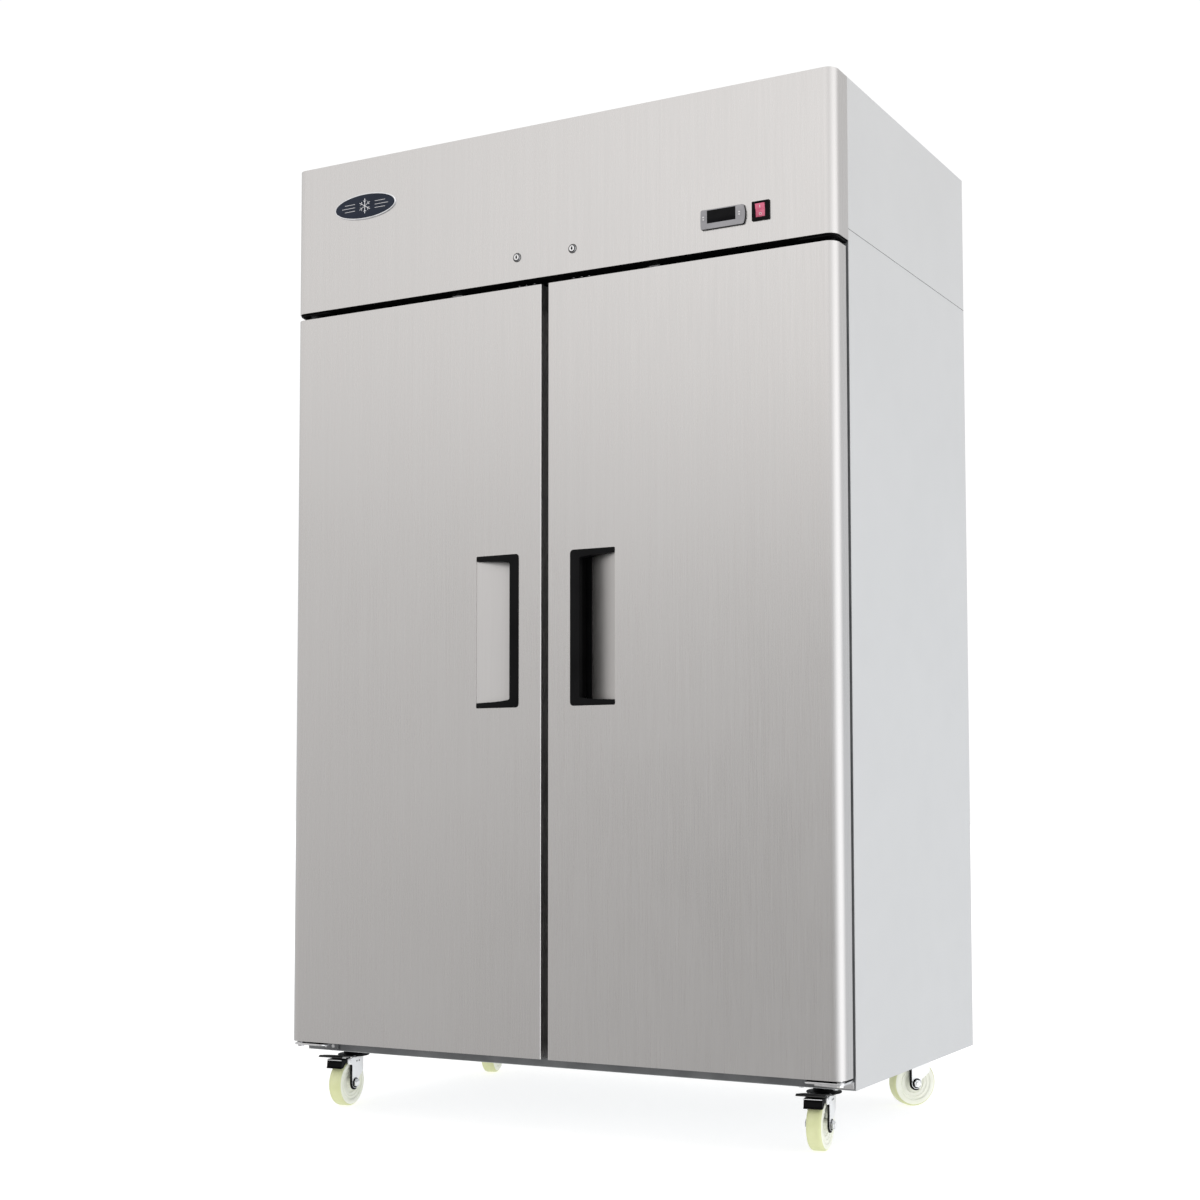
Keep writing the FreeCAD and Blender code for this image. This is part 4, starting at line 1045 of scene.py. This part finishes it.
def condenser():
    """Fin stack between end plates, with the return bends of its tubes."""
    x0, x1, y0, y1, z0, z1 = 60, 400, -150, -90, DECK, DECK + 270
    sheet, fins, rows, tube, bend_radius = 1.5, 120, 10, 4, 12
    middle = (y0 + y1) / 2
    bm = bmesh.new()
    for x in (x0, x1 - sheet):
        add_box(bm, (x, y0, z0), (x + sheet, y1, z1), 0.4, 1, 1)
    for z in (z0, z1 - sheet):
        add_box(bm, (x0, y0, z), (x1, y1, z + sheet), 0.4, 1, 1)
    for i in range(fins):
        x = x0 + 12 + (x1 - x0 - 24) * i / (fins - 1) + random.uniform(-0.15, 0.15)
        add_box(bm, (x - 0.15, y0 + 6, z0 + 10), (x + 0.15, y1 - 6, z1 - 10))
    for row in range(rows):
        z = z0 + 22 + row * (z1 - z0 - 44) / (rows - 1)
        for y in (y0 + 18, y1 - 18):
            add_tube(bm, [(x0 - 1, y, z), (x1 + 1, y, z)], tube, 10, material=2)
        for x, last in ((x0, -270), (x1, 90)):
            bend = arc(x, middle, bend_radius, -90, last, 9)
            add_tube(bm, [(u, v, z) for u, v in bend], tube, 10, material=2)
    made = piece("condenser_fins", bm, ["fins", "galvanised", "copper"], "cabinet")
    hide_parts("condenser_coil")


def wire_guard(name, centre, radii, direction):
    """Round fan guard: rings tied by four arms."""
    x, y, z = centre
    wire = 1.4
    arm_y = y + direction * wire * 1.6
    bm = bmesh.new()
    for radius in radii:
        add_tube(bm, circle(x, y, z, radius, 48), wire, 8, True)
    inner, outer = radii[0] * 0.6, radii[-1] + 6
    for i in range(4):
        a = math.radians(45 + 90 * i)
        add_tube(bm, [(x + r * math.cos(a), arm_y, z + r * math.sin(a)) for r in (inner, outer)], wire, 8)
    piece(name, bm, ["wire"], "cabinet")


def rotor(name, body, node, centre, radius, hub, blades, depth, twist):
    """Axial fan with a domed hub and curved, twisted blades."""
    x, y, z = centre
    half = depth / 2
    root = hub * 0.9
    dome = [(0, -half - 3), (hub * 0.5, -half - 2.4), (hub * 0.86, -half - 0.6), (hub, -half + 2),
            (hub, half), (root, half), (4, half), (4, half + 20), (0, half + 20)]
    bm = bmesh.new()
    add_lathe(bm, dome, centre, TO_BACK, 40)
    across, along = 8, 6

    def blade_row(first_angle, j, offset):
        """Points across the blade at step j from root to tip, on one of its two faces."""
        r = root + (radius - root) * j / along
        sweep = math.radians(46 - 8 * j / along)
        pitch = math.radians(twist * (1.15 - 0.45 * j / along))
        points = []
        for i in range(across + 1):
            t = i / across - 0.5
            a = first_angle + sweep * t + math.radians(14) * j / along
            lift = -t * depth * 0.9 * math.cos(pitch * 0.5) + 2.2 * (0.25 - t * t) * 4
            points.append((x + r * math.cos(a), y + lift + offset, z + r * math.sin(a)))
        return points

    border = [(j, 0) for j in range(along)] + [(along, i) for i in range(across)]
    border += [(j, across) for j in range(along, 0, -1)] + [(0, i) for i in range(across, 0, -1)]
    for blade in range(blades):
        angle = 2 * math.pi * blade / blades
        front, rear = ([add_ring(bm, blade_row(angle, j, offset)) for j in range(along + 1)]
                       for offset in (-0.6, 0.6))
        for grid in (front, rear):
            for j in range(along):
                for i in range(across):
                    bm.faces.new([grid[j][i], grid[j][i + 1], grid[j + 1][i + 1], grid[j + 1][i]])
        for (j, i), (k, m) in zip(border, border[1:] + border[:1]):
            bm.faces.new([front[j][i], front[k][m], rear[k][m], rear[j][i]])
    made = piece(name, bm, ["fan"], body)
    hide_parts(node)


# ---- inside the case ----
def shelf_uprights():
    """Slotted channel uprights, the slots drawn as black plates of painted shade, and the hooked clips that
    carry the shelves.
    """
    floor_z, top_z = low("shelf_standards").z, high("shelf_standards").z
    slot_pitch = 25
    slots = round((top_z - floor_z) / slot_pitch) - 2
    bm = bmesh.new()

    def upright(face, out, along, clip):
        """face: centre of the wall side, out: direction into the bay, along: width direction."""
        face, out, along = Vector(face), Vector(out), Vector(along)

        def block(a0, a1, o0, o1, z0, z1, bevel, material):
            corners = [face + along * a + out * o for a in (a0, a1) for o in (o0, o1)]
            lo = [min(c[i] for c in corners) for i in range(2)] + [z0]
            hi = [max(c[i] for c in corners) for i in range(2)] + [z1]
            add_box(bm, lo, hi, bevel, 1, material)

        block(-10, -8, 0, 7.9, floor_z, top_z, 0.4, 0)
        block(8, 10, 0, 7.9, floor_z, top_z, 0.4, 0)
        block(-9, 9, 6.6, 7.9, floor_z, top_z, 0.3, 0)
        # the slots are black plates on the channel's face: painted shade of the openings
        for i in range(slots):
            z = floor_z + (i + 1) * slot_pitch
            block(-2, 2, 7.8, 8.0, z - 6, z + 6, 0, 1)
        for top in (476.8, 846.8, 1216.8):
            hook = [(8.0, -12), (8.0, -1.5), (10.0, 0), (clip + 6.0, 0), (clip + 7.5, 2.6),
                    (clip + 8.0, 2.6), (clip + 8.0, -3), (13.0, -12)]
            pairs = [[face + along * side + out * o + Vector((0, 0, top + rise)) for side in (-7.5, 7.5)]
                     for o, rise in hook]
            first, second = zip(*(add_ring(bm, pair) for pair in pairs))
            bm.faces.new(first)
            bm.faces.new(list(reversed(second)))
            for i in range(len(hook)):
                j = (i + 1) % len(hook)
                bm.faces.new([first[i], second[i], second[j], first[j]])

    for sign in (-1, 1):
        for y in (-230, 270):
            upright((sign * 595, y, 0), (-sign, 0, 0), (0, 1, 0), 12)
        upright((sign * 18, -281, 0), TO_BACK, ACROSS, 20)
        upright((sign * 18, 320, 0), TO_FRONT, ACROSS, 20)
    made = piece("uprights_with_painted_slot_shade", bm, ["inner", "black_and_painted_shade"], "cabinet")
    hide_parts("shelf_standards")


def interior_lamp():
    """Lamp with its ribbed diffuser and two end caps."""
    lo, hi = low("interior_lamp"), high("interior_lamp")
    y, z, cap, ribs = (lo.y + hi.y) / 2, hi.z, 6, 24
    section = [(-20, 0), (-20, -9), (-17, -17), (-10, -24), (0, -27.5), (10, -24), (17, -17), (20, -9),
               (20, 0)]

    def grown(factor):
        return [(y + u * factor, z + v * factor) for u, v in section]

    bm = bmesh.new()
    add_plate(bm, grown(1), lo.x + cap, hi.x - cap, "yz")
    for x in (lo.x, hi.x - cap):
        add_plate(bm, grown(1.04), x, x + cap, "yz", 0.8, 1)
    for i in range(1, ribs):
        x = lo.x + i * (hi.x - lo.x) / ribs
        add_plate(bm, grown(1.02), x - 0.7, x + 0.7, "yz")
    made = piece("lamp_diffuser", bm, ["lamp", "bezel"], "cabinet")
    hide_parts("interior_lamp")


def cold_unit_fittings():
    """Screws and drain stubs of the cold unit, and the drain rosettes of the floor."""
    lo, hi = low("evaporator_housing"), high("evaporator_housing")
    bm = bmesh.new()
    for x in (-410, -140, 140, 410):
        for z in (lo.z + 11, hi.z - 11):
            add_screw(bm, (x, lo.y, z), TO_FRONT, 2.6)
    for x in (-280, 280):
        add_tube(bm, [(x, 300, lo.z), (x, 300, lo.z - 20), (x, 312, lo.z - 30)], 6, 16)
    for x in (-300, 300):
        add_lathe(bm, [(0, 0.6), (13, 0.6), (16, 1.6), (19, 1.8), (20, 0.4), (20, 0)], (x, 20, 190), UP, 32)
    piece("cold_unit_fittings", bm, ["zinc"], "cabinet")


def main():
    random.seed(7)
    studio()
    floor()
    camera()
    dress_nodes()
    for side, sign in SIDES:
        pull_trim(side, sign)
        door_gasket(side, sign)
        door_pan(side, sign)
        lock(side)
    lock_collars_with_shade_ring()
    badge()
    controller()
    power_switch()
    header_fittings()
    hinge_brackets_with_painted_shade()
    for name in CASTERS:
        wheel(name)
        fork(name)
    for name in CASTERS[:2]:
        brake(name)
    mounting_plates()
    rear_louvres()
    hood_shade_strip_and_seams()
    case_screws()
    cord_gland()
    compressor()
    condenser()
    centre = joint_place("condenser_fan_spin")
    rotor("condenser_rotor", "condenser_fan_rotor", "condenser_fan", centre, 112, 30, 5, 24, 30)
    wire_guard("condenser_guard", (centre.x, -49, centre.z), [45, 70, 95, 121], 1)
    centre = joint_place("evaporator_fan_spin")
    rotor("evaporator_rotor", "evaporator_fan_rotor", "evaporator_fan", centre, 47, 16, 5, 12, 30)
    wire_guard("evaporator_guard", (centre.x, 57.5, centre.z), [16, 28, 40, 52], -1)
    shelf_uprights()
    interior_lamp()
    cold_unit_fittings()


main()
